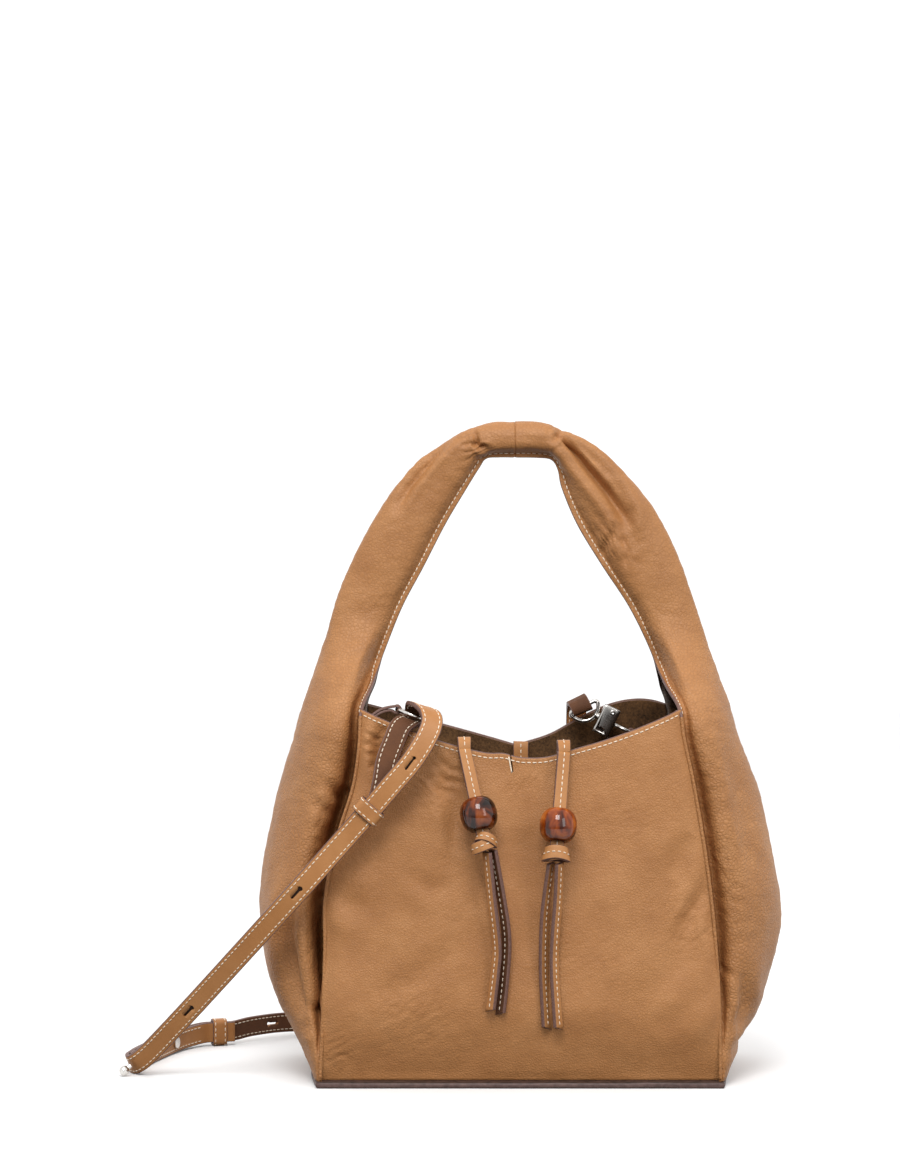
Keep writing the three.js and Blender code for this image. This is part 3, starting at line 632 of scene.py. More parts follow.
# Matching points of a side panel's inner and outer edges: half width and height, base to top seam.
SIDE_INNER = {
    -1: SEAM[-1] + [(84.2, 226), (76, 248), (67, 270), (54.8, 293), (42.5, 317), (30, 338), (22.5, 350),
                    (18.5, 355.3), (11, 356.2), (2, 356.2)],
    1: SEAM[1] + [(84.4, 226), (75.6, 248), (64.6, 270), (49.5, 293), (35, 317), (26, 338), (23.4, 349),
                  (19.5, 354.8), (11, 356), (-1.4, 356.2)],
}
SIDE_OUTER = {
    -1: [(118.5, 3.4), (137, 39), (147, 68), (150.6, 100), (146, 132), (139.5, 161), (131.5, 190), (126, 211),
         (120, 230), (112.5, 252), (103.5, 279), (92, 304), (77, 330), (60, 351.5), (45, 363.6), (30.5, 371.3),
         (15, 376.4), (2, 377)],
    1: [(119.5, 3.4), (139, 40), (150, 72), (152.5, 98), (148.2, 130), (139.5, 163), (130.5, 190), (124.5, 210),
        (118, 228), (110.5, 250), (102, 278), (90.8, 304), (75.8, 331), (55, 352.8), (41, 364.4), (29.5, 371.3),
        (14, 376.4), (-1.4, 377)],
}
# How deep the valley beside each front seam is, as a share.
VALLEY = {-1: 1.7, 1: 0.65}
SIDE_ROWS = 250
SIDE_COLUMNS = 144


def side_section(z_inner, t, side):
    """Section of a side panel, seam to silhouette: share of its width, and half depth."""
    outer_share = np.array([0, 0, 0, 0.2, 0.6, 1, 1, 1, 1, 1, 1])[:, None]
    s = closing(z_inner) * (1 - outer_share) + smoothstep(196, 266, z_inner) * outer_share
    body = seam_half_depth(z_inner)
    valley = VALLEY[side] * smoothstep(14, 70, z_inner) * (1 - 0.5 * smoothstep(150, 208, z_inner))
    lens = 8.8 + 1.8 * smoothstep(0.78, 0.95, t)
    bag = np.array([
        (0.0, body - 2.2), (0.004, body - 3 - 8 * valley), (0.03, body - 3 - 20 * valley),
        (0.09, body - 3 - 19 * valley), (0.15, body - 3 - 8 * valley), (0.27, 0.93 * body - 2.5 * valley),
        (0.45, 0.87 * body), (0.7, 0.7 * body), (0.88, 0.46 * body), (0.97, 0.22 * body), (1.0, 0.0)])
    folded = np.array([
        (0.0, 1.6), (0.04, 1.9), (0.085, 2.2), (0.13, 0.5 * lens), (0.2, 0.78 * lens), (0.3, 0.94 * lens),
        (0.45, lens), (0.7, 0.92 * lens), (0.88, 0.66 * lens), (0.97, 0.34 * lens), (1.0, 0.0)])
    return bag * (1 - s) + folded * s


def side_surface(side):
    t = np.linspace(0, 1, SIDE_ROWS)
    inner = catmull(SIDE_INNER[side], t)
    outer = catmull(SIDE_OUTER[side], t)
    u = np.linspace(0, 1, SIDE_COLUMNS // 2 + 1)
    points = np.zeros((SIDE_ROWS, SIDE_COLUMNS + 1, 3))
    for k in range(SIDE_ROWS):
        q, y = catmull(side_section(inner[k, 1], t[k], side), u).T
        y[-1] = 0
        across = inner[k] + (outer[k] - inner[k]) * q[:, None]
        front = np.stack([side * across[:, 0], -y, across[:, 1]], axis=1)
        back = front[::-1].copy()
        back[:, 1] *= -1
        points[k] = np.vstack([front, back[1:]])
    return points


HANDLE_FOLDS = {
    -1: [([(-37, 368.5), (-50, 356), (-64, 338), (-70, 326)], 2.8, 3.2),
         ([(-25, 364.8), (-22.5, 361.5), (-17, 361)], 1.6, 2.8),
         ([(-25, 371), (-24, 365), (-27, 360)], 1.4, 2.0),
         ([(-33, 362), (-26, 364)], 1.2, 0.9)],
    1: [([(24, 371), (31, 363), (42, 349), (53, 335), (62, 322), (63, 309)], 4.4, 5.5, 0.5),
        ([(23, 372), (31, 362.5), (42, 348.5), (53, 334.5), (61, 322)], 1.9, 4.5),
        ([(33, 366), (44, 357), (55, 345), (66, 329)], 3.0, 2.6),
        ([(20.5, 365), (23, 369), (27, 373)], 1.6, 2.2),
        ([(57, 316), (50, 303), (48, 297)], 2.0, 1.3),
        ([(60, 312), (63, 300), (62, 292)], 1.8, 1.2)],
}
GUSSET_FOLDS = {
    -1: [([(-128, 108), (-133, 84), (-129, 60), (-121, 36)], 5.0, 7.0),
         ([(-113, 172), (-104, 164), (-98, 158)], 3.0, 1.4),
         ([(-119, 160), (-108, 152)], 2.6, 1.1),
         ([(-112, 40), (-122, 46)], 2.5, 1.3)],
    1: [([(119, 205), (125, 176), (131, 146), (134, 118)], 7.0, 2.4),
        ([(126, 66), (128, 45), (124, 30)], 4.0, 3.6),
        ([(136, 30), (128, 22), (118, 20)], 3.0, 2.4),
        ([(113, 66), (121, 61)], 2.0, 1.0)],
}
# Patches of fine creases: middle, radius, depth, direction of the creases in degrees.
SIDE_CRUMPLES = {
    -1: [((-25, 363), 9, 1.0, 20), ((-114, 162), 14, 0.8, -25), ((-121, 32), 12, 0.9, 10), ((-118, 78), 16, 0.6, 60),
         ((-60, 345), 16, 0.5, 50), ((-92, 268), 22, 0.35, 30), ((-112, 140), 19, 0.75, 8),
         ((-116, 112), 18, 0.8, -6)],
    1: [((58, 314), 14, 1.3, -60), ((67, 303), 13, 1.0, 10), ((24, 368), 8, 0.9, 60), ((112, 163), 19, 0.8, -8),
        ((114, 130), 21, 0.95, 6), ((116, 100), 17, 0.8, -12),
        ((124, 40), 14, 0.8, -40), ((84, 262), 20, 0.35, -35), ((112, 190), 16, 0.5, 70)],
}


def crumple(points, middle, radius, depth, angle, seed):
    """Fine creases pressed into a surface around one place, running at an angle in the X-Z plane."""
    x, z = points[..., 0] - middle[0], points[..., 2] - middle[1]
    mask = np.exp(-(x * x + z * z) / (radius * radius))
    change = np.zeros(x.shape)
    near = mask > 0.02
    turn = math.radians(angle)
    along = (x * math.cos(turn) + z * math.sin(turn))[near] / 9.0
    across = (-x * math.sin(turn) + z * math.cos(turn))[near] / 2.6
    value = np.array([noise.noise(Vector((a, b, seed * 1.7))) for a, b in zip(along, across)])
    ridge = np.clip(1 - 3.2 * np.abs(value), 0, 1) ** 1.5
    change[near] = -depth * mask[near] * ridge
    return change


def displaced_side(side):
    points = side_surface(side)
    normals = grid_normals(points)
    if np.mean(normals[:, SIDE_COLUMNS // 2, 0]) * side < 0:
        normals = -normals
    x, y, z = points[..., 0], points[..., 1], points[..., 2]
    height = 1.3 * ripple(points, 42, 3 + side) + 0.55 * ripple(points, 17, 8 + side)
    height += 0.28 * ripple(points * np.array([1, 1, 2.6]), 9, 5 + side)
    front = smoothstep(4, -4, y)
    for line, *size in HANDLE_FOLDS[side]:
        height += crease(x, z, line, *size) * (0.25 + 0.75 * front)
    for line, width, depth in GUSSET_FOLDS[side]:
        height += crease(x, z, line, width, depth) * front
    for k, (middle, radius, depth, angle) in enumerate(SIDE_CRUMPLES[side]):
        height += crumple(points, middle, radius, depth, angle, 30 + 7 * k + side)
    edge = np.minimum(np.arange(SIDE_COLUMNS + 1), np.arange(SIDE_COLUMNS, -1, -1))[None, :]
    keep = smoothstep(0, 7, edge) * smoothstep(0, 5, np.arange(SIDE_ROWS))[:, None]
    keep = keep * (0.35 + 0.65 * smoothstep(0, 4, np.arange(SIDE_ROWS)[::-1])[:, None])
    return points + normals * (height * keep)[..., None], normals


def row_inside(grid, normals, distance):
    """The line on a grid at a distance in from its first column, and the normals along it."""
    runs = [run_along(row) for row in grid]
    line, up = (np.array([at_run(distance, run, row) for run, row in zip(runs, rows)]) for rows in (grid, normals))
    return line, unit(up)


HANDLE_THREAD_INSET = 2.7


def make_side(side, name, nodes):
    """A gusset and its half of the handle as one shell, with the stitches along the handle's edges."""
    outer, normals = displaced_side(side)
    rim_row = int(np.argmax(outer[:, 0, 2] > CORNER_HEIGHT - 3))
    piece = shell(f"side_{name}", outer, -normals, LEATHER, [TAN_SIDE, SUEDE, EDGE], ("low", "high"), rim_row)
    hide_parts(*nodes)
    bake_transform(piece)

    rows = np.where(outer[:, 0, 2] > CORNER_HEIGHT - 2)[0]
    line, up = row_inside(outer[rows], normals[rows], HANDLE_THREAD_INSET)
    for tag, sign in (("front", 1), ("back", -1)):
        turn = np.array([1, sign, 1])
        thread = stitches(f"thread_handle_{name}_{tag}", line * turn, up * turn, skew=0.1 * side)
        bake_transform(thread)


make_side(-1, "left", ["gusset_left", "handle_left"])
make_side(1, "right", ["gusset_right", "handle_right"])


# ---- Front and back panels ----
PANEL_COLUMNS = 210
PANEL_ROWS = 180
FRONT_FOLDS = [
    ([(-76, 203), (-79, 193), (-78, 183), (-75, 172)], 4.6, 5.0),
    ([(-88, 199), (-79, 194)], 1.2, 0.9),
    ([(-88, 192), (-79, 190)], 1.2, 0.9),
    ([(-87, 186), (-78, 186)], 1.2, 0.9),
    ([(-86, 179), (-77, 181)], 1.2, 0.8),
    ([(-48, 186), (-40, 178), (-28, 176)], 2.0, 0.9),
    ([(-50, 182), (-42, 172), (-30, 170)], 2.0, 0.8),
    ([(-54, 178), (-46, 167), (-36, 164)], 2.2, 0.6),
    ([(97, 142), (90, 130), (86, 116)], 6.0, 1.6),
    ([(104, 114), (97, 99), (91, 84)], 4.2, 2.2),
    ([(109, 62), (92, 42), (72, 32)], 7.0, 1.5),
    ([(-44, 178), (-38, 160), (-36, 140), (-39, 118)], 5.5, 2.0),
    ([(-64, 120), (-52, 112), (-38, 110)], 5.0, 0.9),
    ([(-30, 84), (-60, 60), (-84, 52)], 6.0, 0.9),
    ([(-104, 116), (-98, 104), (-86, 98)], 7.0, 1.6),
    ([(100, 96), (84, 60), (60, 40)], 9.0, 1.3),
    ([(-38, 180), (-34, 160), (-32, 140)], 7.0, 1.4),
    ([(2, 176), (0, 150), (3, 110), (6, 66)], 9.0, 2.2),
]
FRONT_CRUMPLES = [
    ((-80, 190), 11, 1.0, 5), ((-50, 170), 15, 0.8, -35), ((0, 172), 14, 0.5, 60), ((-104, 20), 13, 0.9, 25),
    ((-62, 42), 24, 0.45, 35), ((98, 92), 20, 0.6, 50), ((-88, 120), 20, 0.4, 70), ((60, 150), 26, 0.25, 20),
    ((30, 70), 30, 0.25, 30), ((-40, 100), 30, 0.22, 40)]
BACK_RIM_RIGHT = [(0, 185.6), (19, 191.8), (34, 200), (49, 207.6), (62, 211.8), (73, 213.2), (82, 212.4), (90.5, 210)]


def front_rim(x):
    """Height of the front rim, with a small hump where the slit is."""
    u = np.abs(x) / RIM_HALF_WIDTH
    return 184.3 + 27.2 * u ** 1.55 - 1.4 * np.exp(-((x - 14) / 11) ** 2) + 1.4 * np.exp(-((x + 9) / 6) ** 2)


def back_rim(x):
    curve = catmull(BACK_RIM_RIGHT, np.linspace(0, 1, 80))
    left = 185.6 + 25 * (np.abs(x) / RIM_HALF_WIDTH) ** 0.95
    return np.where(x > 0, np.interp(x, curve[:, 0], curve[:, 1]), left)


def seam_half_width(x, z):
    """Half width of the front panel at a height, on the side of x."""
    left = catmull(SEAM[-1], np.linspace(0, 1, 120))
    right = catmull(SEAM[1], np.linspace(0, 1, 120))
    return np.where(x < 0, np.interp(z, left[:, 1], left[:, 0]), np.interp(z, right[:, 1], right[:, 0]))


PANEL_BULGE = 2.0
# The panel sags round one height, and is tucked in over FOOT_HEIGHT below it.
SAG_LEVEL = 46
SAG_SPREAD = 22
SAG_DEPTH = 1.8
FOOT_HEIGHT = 43
FOOT_TUCK = 6.6
SEAM_ROUNDING = 3.0


def panel_points(sign, rim, folds, crumples):
    u = np.linspace(-1, 1, PANEL_COLUMNS + 1)
    v = np.linspace(0, 1, PANEL_ROWS + 1)
    uu, vv = np.meshgrid(u, v, indexing="ij")
    z = BASE_TOP + (rim(uu * 90.2) - BASE_TOP) * vv
    x = uu * (seam_half_width(uu, z) - 0.3)
    bulge = PANEL_BULGE * (1 - uu ** 2) * np.sin(math.pi * vv)
    sag = SAG_DEPTH * np.exp(-((z - SAG_LEVEL) / SAG_SPREAD) ** 2)
    sag = sag - FOOT_TUCK * np.clip((SAG_LEVEL - z) / FOOT_HEIGHT, 0, 1) ** 1.8
    rounded = -SEAM_ROUNDING * smoothstep(0.88, 1.0, np.abs(uu)) ** 2 * smoothstep(6, 40, z)
    points = np.stack([x, sign * (seam_half_depth(z) + bulge + sag + rounded), z], axis=-1)
    keep = smoothstep(0, 6, z - BASE_TOP)
    edge = smoothstep(0, 0.05, 1 - np.abs(uu))
    wave = 1.3 * ripple(points, 48, 12 + sign) + 0.5 * ripple(points, 18, 21 + sign) + 0.12 * ripple(points, 6, 4)
    for line, width, depth in folds:
        wave = wave + crease(x, z, line, width, depth)
    for k, (middle, radius, depth, angle) in enumerate(crumples):
        wave = wave + crumple(points, middle, radius, depth, angle, 60 + 5 * k)
    points[..., 1] += sign * wave * keep * (0.25 + 0.75 * edge)
    return points


RIM_THREAD_INSET = 2.3


def make_panel(name, sign, rim, folds, crumples, node):
    """A panel's shell, with the stitches along its rim."""
    outer = panel_points(sign, rim, folds, crumples)
    outward = np.zeros_like(outer)
    outward[..., 1] = sign
    inward = -outward
    seam = smoothstep(0.9, 1.0, np.abs(np.linspace(-1, 1, PANEL_COLUMNS + 1)))[:, None]
    inward[..., 0] = -0.35 * np.sign(outer[..., 0]) * seam
    piece = shell(name, outer, unit(inward), LEATHER, [TAN, SUEDE, EDGE], painted=("high",))
    finish_piece(piece, "bag", "tan_leather", node)
    line, up = row_inside(outer[2:-2, ::-1], outward[2:-2, ::-1], RIM_THREAD_INSET)
    finish_piece(stitches(f"thread_{name}_rim", line, up), "bag", "tan_leather")
    return outer, piece


front_outer, front_piece = make_panel("panel_front", -1, front_rim, FRONT_FOLDS, FRONT_CRUMPLES, "front_panel")
back_outer, _ = make_panel("panel_back", 1, back_rim, [], [((40, 120), 40, 0.4, 30), ((-50, 60), 40, 0.4, -20)],
                           "back_panel")


def make_slit():
    """The short slit under the middle of the front rim, with its pale edge."""
    (low_x, low_z), (high_x, high_z), half = (-4.0, 176.4), (-5.6, 186.6), 0.28
    outline = [(low_x - half, low_z), (low_x + half, low_z), (high_x + half * 2, high_z), (high_x - half, high_z)]
    front, back = ([(x, y, z) for x, z in outline] for y in (-70, -40))
    cut(front_piece, [prism("slit_tool", front, back, EDGE)])
    depth = front_outer[PANEL_COLUMNS // 2 - 6, -8:, 1].min() - 0.05
    line = np.linspace((low_x - 0.6, depth, low_z - 0.4), (high_x - 0.7, depth, high_z - 1.6), 8)
    finish_piece(ribbon("slit_edge", line, np.tile([1.0, 0, 0], (8, 1)), 0.7, 0.5, [THREAD] * 3), "bag", "tan_leather")


make_slit()


HEM_ROWS = 18
HEM_THICKNESS = 1.1


def make_facing(name, outer, sign, node):
    """The turned hem inside a rim: a strip of the same leather folded over to the inside."""
    grid = outer[2:-2, -HEM_ROWS:].copy()
    grid[..., 1] -= sign * (LEATHER + 0.5)
    grid[:, -1, 2] -= 0.5
    inward = np.zeros_like(grid)
    inward[..., 1] = -sign
    piece = shell(name, grid, inward, HEM_THICKNESS, [SUEDE, SUEDE, EDGE])
    finish_piece(piece, "bag", "suede_lining", node)


make_facing("hem_front", front_outer, -1, "front_rim_facing")
make_facing("hem_back", back_outer, 1, "back_rim_facing")


# ---- Base ----
def make_base():
    """The flat base: straight at the front and back, bowed out at the sides, with a band round its edge."""
    half, depth, belly = 114.3, 61.3, 119.5
    front = [(-half + 2 * half * k / 120, -depth) for k in range(120)]
    right = [(half + (belly - half) * (1 - a * a), depth * a) for a in -1 + 2 * np.arange(60) / 60]
    outline = np.array(front + right)
    outline = np.vstack([outline, -outline])
    wobble = 0.35 * np.array([noise.noise(Vector((x / 22, y / 22, 1.7))) for x, y in outline])
    lift = 0.5 * np.array([max(0, noise.noise(Vector((x / 30, y / 30, 6.1)))) for x, y in outline])
    levels = ((0.0, -0.6), (0.5, 0.0), (1.6, 0.15), (2.7, 0.0), (3.1, -0.7))
    points = np.vstack([np.column_stack([outline + unit(outline) * (grow + wobble)[:, None], z + lift * (z > 0)])
                        for z, grow in levels])
    n = len(outline)
    which = [2 if r in (1, 2) else 1 for r in range(len(levels) - 1) for _ in range(n)] + [0, 1]
    base = mesh_object("base", points, ring_faces(len(levels), n) + ring_caps(len(levels), n),
                       [TAN, BASE_EDGE, BASE_BAND], which)
    finish_piece(base, "bag", "tan_leather", "base_panel")


make_base()


# ---- Drawstring: strands over the rim, beads, knots and tails ----
TIES = {
    "left": {
        "x": -31.5, "knot": (-20.2, -73.5, 139.5), "knot_half_height": 5.8, "turn": -0.95,
        # each wrap of the knot: shift in x and z, half width and half depth, strip width, tilt, bow and flare
        "wraps": [(-1.2, -2.4, 5.0, 4.3, 6.2, 0.4, 0.6, 0.25), (1.0, 1.4, 4.8, 3.7, 4.8, -0.3, 3.0, 0.4)],
        "front": [(-18.8, -73.8, 133.4), (-16.2, -69.6, 107), (-13.4, -67.2, 81), (-14, -66.5, 68),
                  (-16.8, -65.9, 44.2)],
        "back": [(-15.6, -70.5, 134.4), (-10.6, -66.3, 106), (-7.8, -64.2, 84), (-9, -63.3, 62), (-11.2, -63, 42)]},
    "right": {
        "x": 24.5, "knot": (19.5, -73.5, 133.2), "knot_half_height": 5.6, "turn": 0.95,
        "wraps": [(0, -1.4, 4.6, 3.4, 5.5, 0.1, 1.0, 0.1), (0, -0.3, 6.2, 4.2, 7.6, -0.04, 2.6, 0.3)],
        "front": [(21.4, -73.8, 127.2), (20.7, -69.6, 106.4), (19.4, -67.4, 88), (18.8, -66.4, 68),
                  (21, -65.9, 34.2)],
        "back": [(17, -70.5, 127), (14.6, -66.3, 108), (13.2, -64.4, 92), (12.9, -63.3, 66), (14.6, -63, 34)]},
}
STRAND_TWIST = 0.42
KNOT_THICKNESS = 2.1
BEAD_HALF_LENGTH = 8.5
BEAD_GAP = 1.2


def level_across(angles):
    """Level directions at angles from +X."""
    return np.stack([np.cos(angles), np.sin(angles), 0 * angles], axis=1)


def make_tail(side, word, points, turn, body):
    path = even_path(points, TAIL_STEP)
    across = level_across(turn * np.linspace(1.0, 0.88, len(path)))
    name = f"tail_{side}_{word}"
    faces = UNDER_OUT if (side, word) == ("left", "back") else FACE_OUT
    piece = ribbon(f"{name}_strip", path, across, TAIL_WIDTH, TAIL_THICKNESS, faces, slant=0.2 * np.sign(turn))
    finish_piece(piece, body, "strap_leather", name)
    thread = thread_row(f"{name}_thread", path, across, TAIL_THICKNESS / 2, body, slice(1, -1), pitch=3.2,
                        radius=0.32, length=0.66)


def make_knot(side, tie, body):
    """The knot's wraps: strips round the strands, tilted, bowed up at the front and flared at the bottom."""
    centre = np.array(tie["knot"])
    angles = np.linspace(0, 2 * math.pi, 49)
    front = np.clip(-np.sin(angles), 0, 1)
    front_half = slice(25, 48)
    pieces = []
    for number, (dx, dz, wide, deep, width, tilt, bow, flare) in enumerate(tie["wraps"]):
        path = np.stack([
            centre[0] + dx + wide * np.cos(angles), centre[1] + deep * np.sin(angles),
            centre[2] + dz + tilt * wide * np.cos(angles) + bow * (front ** 1.4 - 0.5)], axis=1)
        across = np.array([-tilt, 0, 1.0]) - flare * level_across(angles)
        pieces.append(ribbon(f"knot_{side}_{number}", path, across, width, KNOT_THICKNESS, FACE_OUT))
        thread_row(f"knot_{side}_{number}_thread", path, across, KNOT_THICKNESS / 2 + 0.05, body, front_half,
                   pitch=3.0, radius=0.3, length=0.64)
    finish_piece(pieces[0], body, "strap_leather", f"knot_{side}")
    finish_piece(pieces[1], body, "strap_leather")
    return pieces


def make_bead(side, centre, axis):
    """A rounded bead with a straight bore."""
    profile = [(3.9, -8.6), (4.2, -9.1), (5.0, -9.3), (6.9, -8.5), (8.7, -6.7), (9.85, -4.2), (10.35, -1.5),
               (10.35, 1.5), (9.85, 4.2), (8.7, 6.7), (6.9, 8.5), (5.0, 9.3), (4.2, 9.1), (3.9, 8.6), (3.9, 0),
               (3.9, -8.6)]
    piece = revolve(f"bead_{side}_body", catmull(profile, np.linspace(0, 1, 61)), centre, axis, TORTOISE[side])
    finish_piece(piece, f"bead_{side}", "tortoise", f"bead_{side}")


def make_tie(side, tie):
    """One hanging end of the drawstring, from inside the rim to its tails."""
    body = f"tie_{side}"
    x = tie["x"]
    rim_z = RIM_LOW + RIM_RISE * (abs(x) / RIM_HALF_WIDTH) ** 1.5
    start = np.array([x, -56.8, rim_z - 0.2])
    knot = np.array(tie["knot"])
    axis = unit(knot - start)
    length = np.linalg.norm(knot - start) - tie["knot_half_height"] + 2.0
    steps = np.linspace(0, 1, 30)[:, None]
    path = start + axis * length * steps
    across = level_across(STRAND_TWIST * (1 - 0.6 * steps[:, 0]))
    strip = ribbon(f"strand_{side}", path, across, TIE_WIDTH, TIE_THICKNESS, FACE_OUT)
    finish_piece(strip, body, "strap_leather", f"tie_strip_{side}")
    thread = thread_row(f"strand_{side}_thread", path, across, TIE_THICKNESS / 2, body, pitch=3.2, radius=0.32)

    # over the rim and down inside it
    arch = [(-56.85, -0.7), (-56.6, 1.2), (-55.6, 3.4), (-53.6, 4.9), (-51.2, 5.2), (-48.6, 4.4), (-46.6, 2.4),
            (-45.5, -0.4), (-45.2, -4), (-45.2, -9)]
    over = even_path([(x, y, rim_z + z) for y, z in arch], TAB_STEP)
    across = -level_across(STRAND_TWIST * np.linspace(1, 0, len(over)) ** 1.5)
    hump = ribbon(f"over_rim_{side}", over, across, TIE_WIDTH, TIE_THICKNESS, FACE_OUT)
    finish_piece(hump, "bag", "strap_leather", f"tie_hump_{side}")
    thread_row(f"over_rim_{side}_thread", over, across, TIE_THICKNESS / 2, "bag", slice(2, None), radius=0.3)

    make_bead(side, knot - axis * (tie["knot_half_height"] + BEAD_HALF_LENGTH + BEAD_GAP), -axis)
    knots = make_knot(side, tie, body)
    make_tail(side, "front", tie["front"], tie["turn"], body)
    make_tail(side, "back", tie["back"], tie["turn"], body)


for side_name, tie_facts in TIES.items():
    make_tie(side_name, tie_facts)


# ---- Strap keepers ----
KEEPER_WIDTH = 8.6
KEEPER_THICKNESS = 1.5
KEEPER_SIDE_GAP = 1.2
KEEPER_FACE_GAP = 1.1


def make_keeper(name, node, centre, along, across):
    """A leather loop round both layers of the strap, on a body of its own."""
    along, across = unit(along), unit(across)
    across = unit(across - across @ along * along)
    up = np.cross(along, across)
    wide, deep = STRAP_WIDTH / 2 + KEEPER_SIDE_GAP, LAYER_OFFSET + STRAP_THICKNESS / 2 + KEEPER_FACE_GAP
    loop = []
    for k in range(48):
        angle = 2 * math.pi * k / 48
        c, s = math.cos(angle), math.sin(angle)
        loop.append(centre + across * wide * np.sign(c) * abs(c) ** 0.35 + up * deep * np.sign(s) * abs(s) ** 0.45)
    loop = np.array(loop + loop[:2])
    band = ribbon(name, loop, np.tile(along, (len(loop), 1)), KEEPER_WIDTH, KEEPER_THICKNESS, FACE_OUT)
    finish_piece(band, node, "strap_leather", node)
    outward = unit(loop - centre)
    for tag, shift in (("a", 3.0), ("b", -3.0)):
        row = loop + along * shift + outward * KEEPER_THICKNESS / 2
        finish_piece(stitches(f"{name}_thread_{tag}", row, outward, radius=0.32), node, "strap_leather")


make_keeper("band_upper", "keeper_upper", np.array([-84.7, -69, 155.6]), np.array([-19.7, 0.5, -22.2]),
            DIAGONAL_ACROSS)
make_keeper("band_lower", "keeper_lower", np.array([-181, 81.4, 8.1]), np.array([18.0, 5.6, 0]), UPRIGHT_ACROSS)


# ---- CAD pieces whose shape is kept, in a better material ----
for node in ("hook_body", "hook_gate", "hook_rivet", "stud_fold", "stud_return", "stud_screw"):
    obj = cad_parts[node]
    for slot in obj.material_slots:
        slot.material = NICKEL
    if not obj.material_slots:
        obj.data.materials.append(NICKEL)


# ---- Tabs, and the drawstring behind the rim ----
def strap_piece(name, points, across, width, thickness, node, faces):
    """A short leather strap along points."""
    path = even_path(points, TAB_STEP)
    across = np.tile(across, (len(path), 1))
    finish_piece(ribbon(name, path, across, width, thickness, faces), "bag", "strap_leather", node)
    return path, across


def ring_tab(name, wire_point, tongue, node):
    """A strap folded round a ring's wire, its two ends side by side down to the seam."""
    x, y, z = wire_point
    side = 1 if x > 0 else -1
    lower = [(a, b, c - 0.9) for a, b, c in reversed(tongue)]
    upper = [(a, b, c + 0.9) for a, b, c in tongue]
    bend = [(x + side * a, y, z + c) for a, c in ((1.2, -1.7), (-0.5, -2.1), (-2.1, 0), (-0.5, 2.1), (1.2, 1.7))]
    # both faces take the dark underside leather: partly the tab's rough side, partly painted shade for the shadow at
    # the rim's corner
    strap_piece(name, lower + bend + upper, (0, -side, 0), 8, 1.3, node, [STRAP_UNDER, STRAP_UNDER, EDGE])


ring_tab("tab_left", (-69.5, -36, 211.0),
         [(-73.6, -36, 211.4), (-79, -37, 210), (-84.5, -40, 206.5), (-89, -43.3, 203.5)], "ring_tab_left")
ring_tab("tab_right", (68.2, 35, 194), [(72.2, 35, 192.3), (77.5, 36.8, 190.5), (85, 40.5, 188.5), (90, 43.4, 188)],
         "ring_tab_right")
tab_thickness = 1.7
tab_path, tab_across = strap_piece("tab_back", [(3, 43.6, 176), (3, 43.5, 181), (3, 43.7, 185), (3.1, 44.4, 188)],
                                   (-1, 0, 0), 9, tab_thickness, "back_tab", [STRAP_TOP, STRAP_TOP, EDGE])
thread_row("tab_back_thread_0", tab_path, tab_across, tab_thickness / 2, "bag", slice(1, -1), radius=0.3)
strap_piece("tie_inner", [(-35.5, -46.5, 180.4), (-18, -46.4, 179.9), (-3, -46.3, 179.8), (13, -46.4, 180),
                          (28.5, -46.5, 180.4)], (0, 0, 1), TIE_WIDTH, TIE_THICKNESS, "tie_inner_run", UNDER_OUT)


# ---- The hook's front plate and rivet, in the hook's own slanted frame, and the rings' wires ----
HOOK_CENTRE = np.array([53.7, 35, 201])
HOOK_RIGHT = np.array([0.9, 0, -0.436])
HOOK_UP = np.array([0.436, 0, 0.9])


def in_hook(x, y, z):
    return HOOK_CENTRE + HOOK_RIGHT * x + HOOK_UP * z + np.array([0, y, 0])


def rounded_plate(half_wide, half_high, radius):
    """The outline of a rectangle with rounded corners."""
    outline = []
    for sx, sz, first in ((1, 1, 0), (-1, 1, 90), (-1, -1, 180), (1, -1, 270)):
        for k in range(7):
            a = math.radians(first + 15 * k)
            outline.append((sx * (half_wide - radius) + radius * math.cos(a),
                            sz * (half_high - radius) + radius * math.sin(a)))
    return outline


def hook_prism(name, outline, y_front, y_back, made):
    """A thin solid with the given outline, in the hook's own frame."""
    front, back = ([in_hook(x, y, z) for x, z in outline] for y in (y_front, y_back))
    return prism(name, front, back, made)


def make_hook_plate():
    """A metal plate with rounded corners over the front of the hook, with a slot in its foot, a dark plate of painted
    shade in the slot, and a rivet.
    """
    rings = [(5.0, 8.75, -3.0), (5.15, 8.9, -3.4), (5.05, 8.8, -3.8), (4.75, 8.5, -4.05), (4.2, 7.95, -4.2),
             (2.8, 6.4, -4.32), (1.4, 4.6, -4.38)]
    points = [in_hook(a, y, b) for wide, high, y in rings for a, b in rounded_plate(wide, high, min(1.5, wide))]
    sides = len(points) // len(rings)
    plate = mesh_object("hook_plate", points, ring_faces(len(rings), sides) + ring_caps(len(rings), sides),
                        [HOOK_METAL])
    slot = [(-3.7, -5.3), (-3.9, -7.3), (0.6, -7.3), (0.9, -5.9)]
    cut(plate, [hook_prism("slot_tool", slot, -6, -2, HOOK_METAL)])
    finish_piece(plate, "hook", "nickel")
    # a dark plate filling the slot: painted shade for the hollow behind it
    shade_plate = hook_prism("hook_slot_lining", [(1.05 * x, z) for x, z in slot], -3.35, -3.05, HOLE_SHADE)
    finish_piece(shade_plate, "hook", "nickel")
    rivet = [(0, 0), (1.5, 0), (1.6, 0.35), (1.3, 0.8), (0.7, 1.0), (0.55, 0.7), (0, 0.6)]
    head = revolve("hook_rivet_head", rivet, in_hook(1.0, -4.2, 6.0), (0, -1, 0), NICKEL, segments=32)
    finish_piece(head, "hook", "nickel")


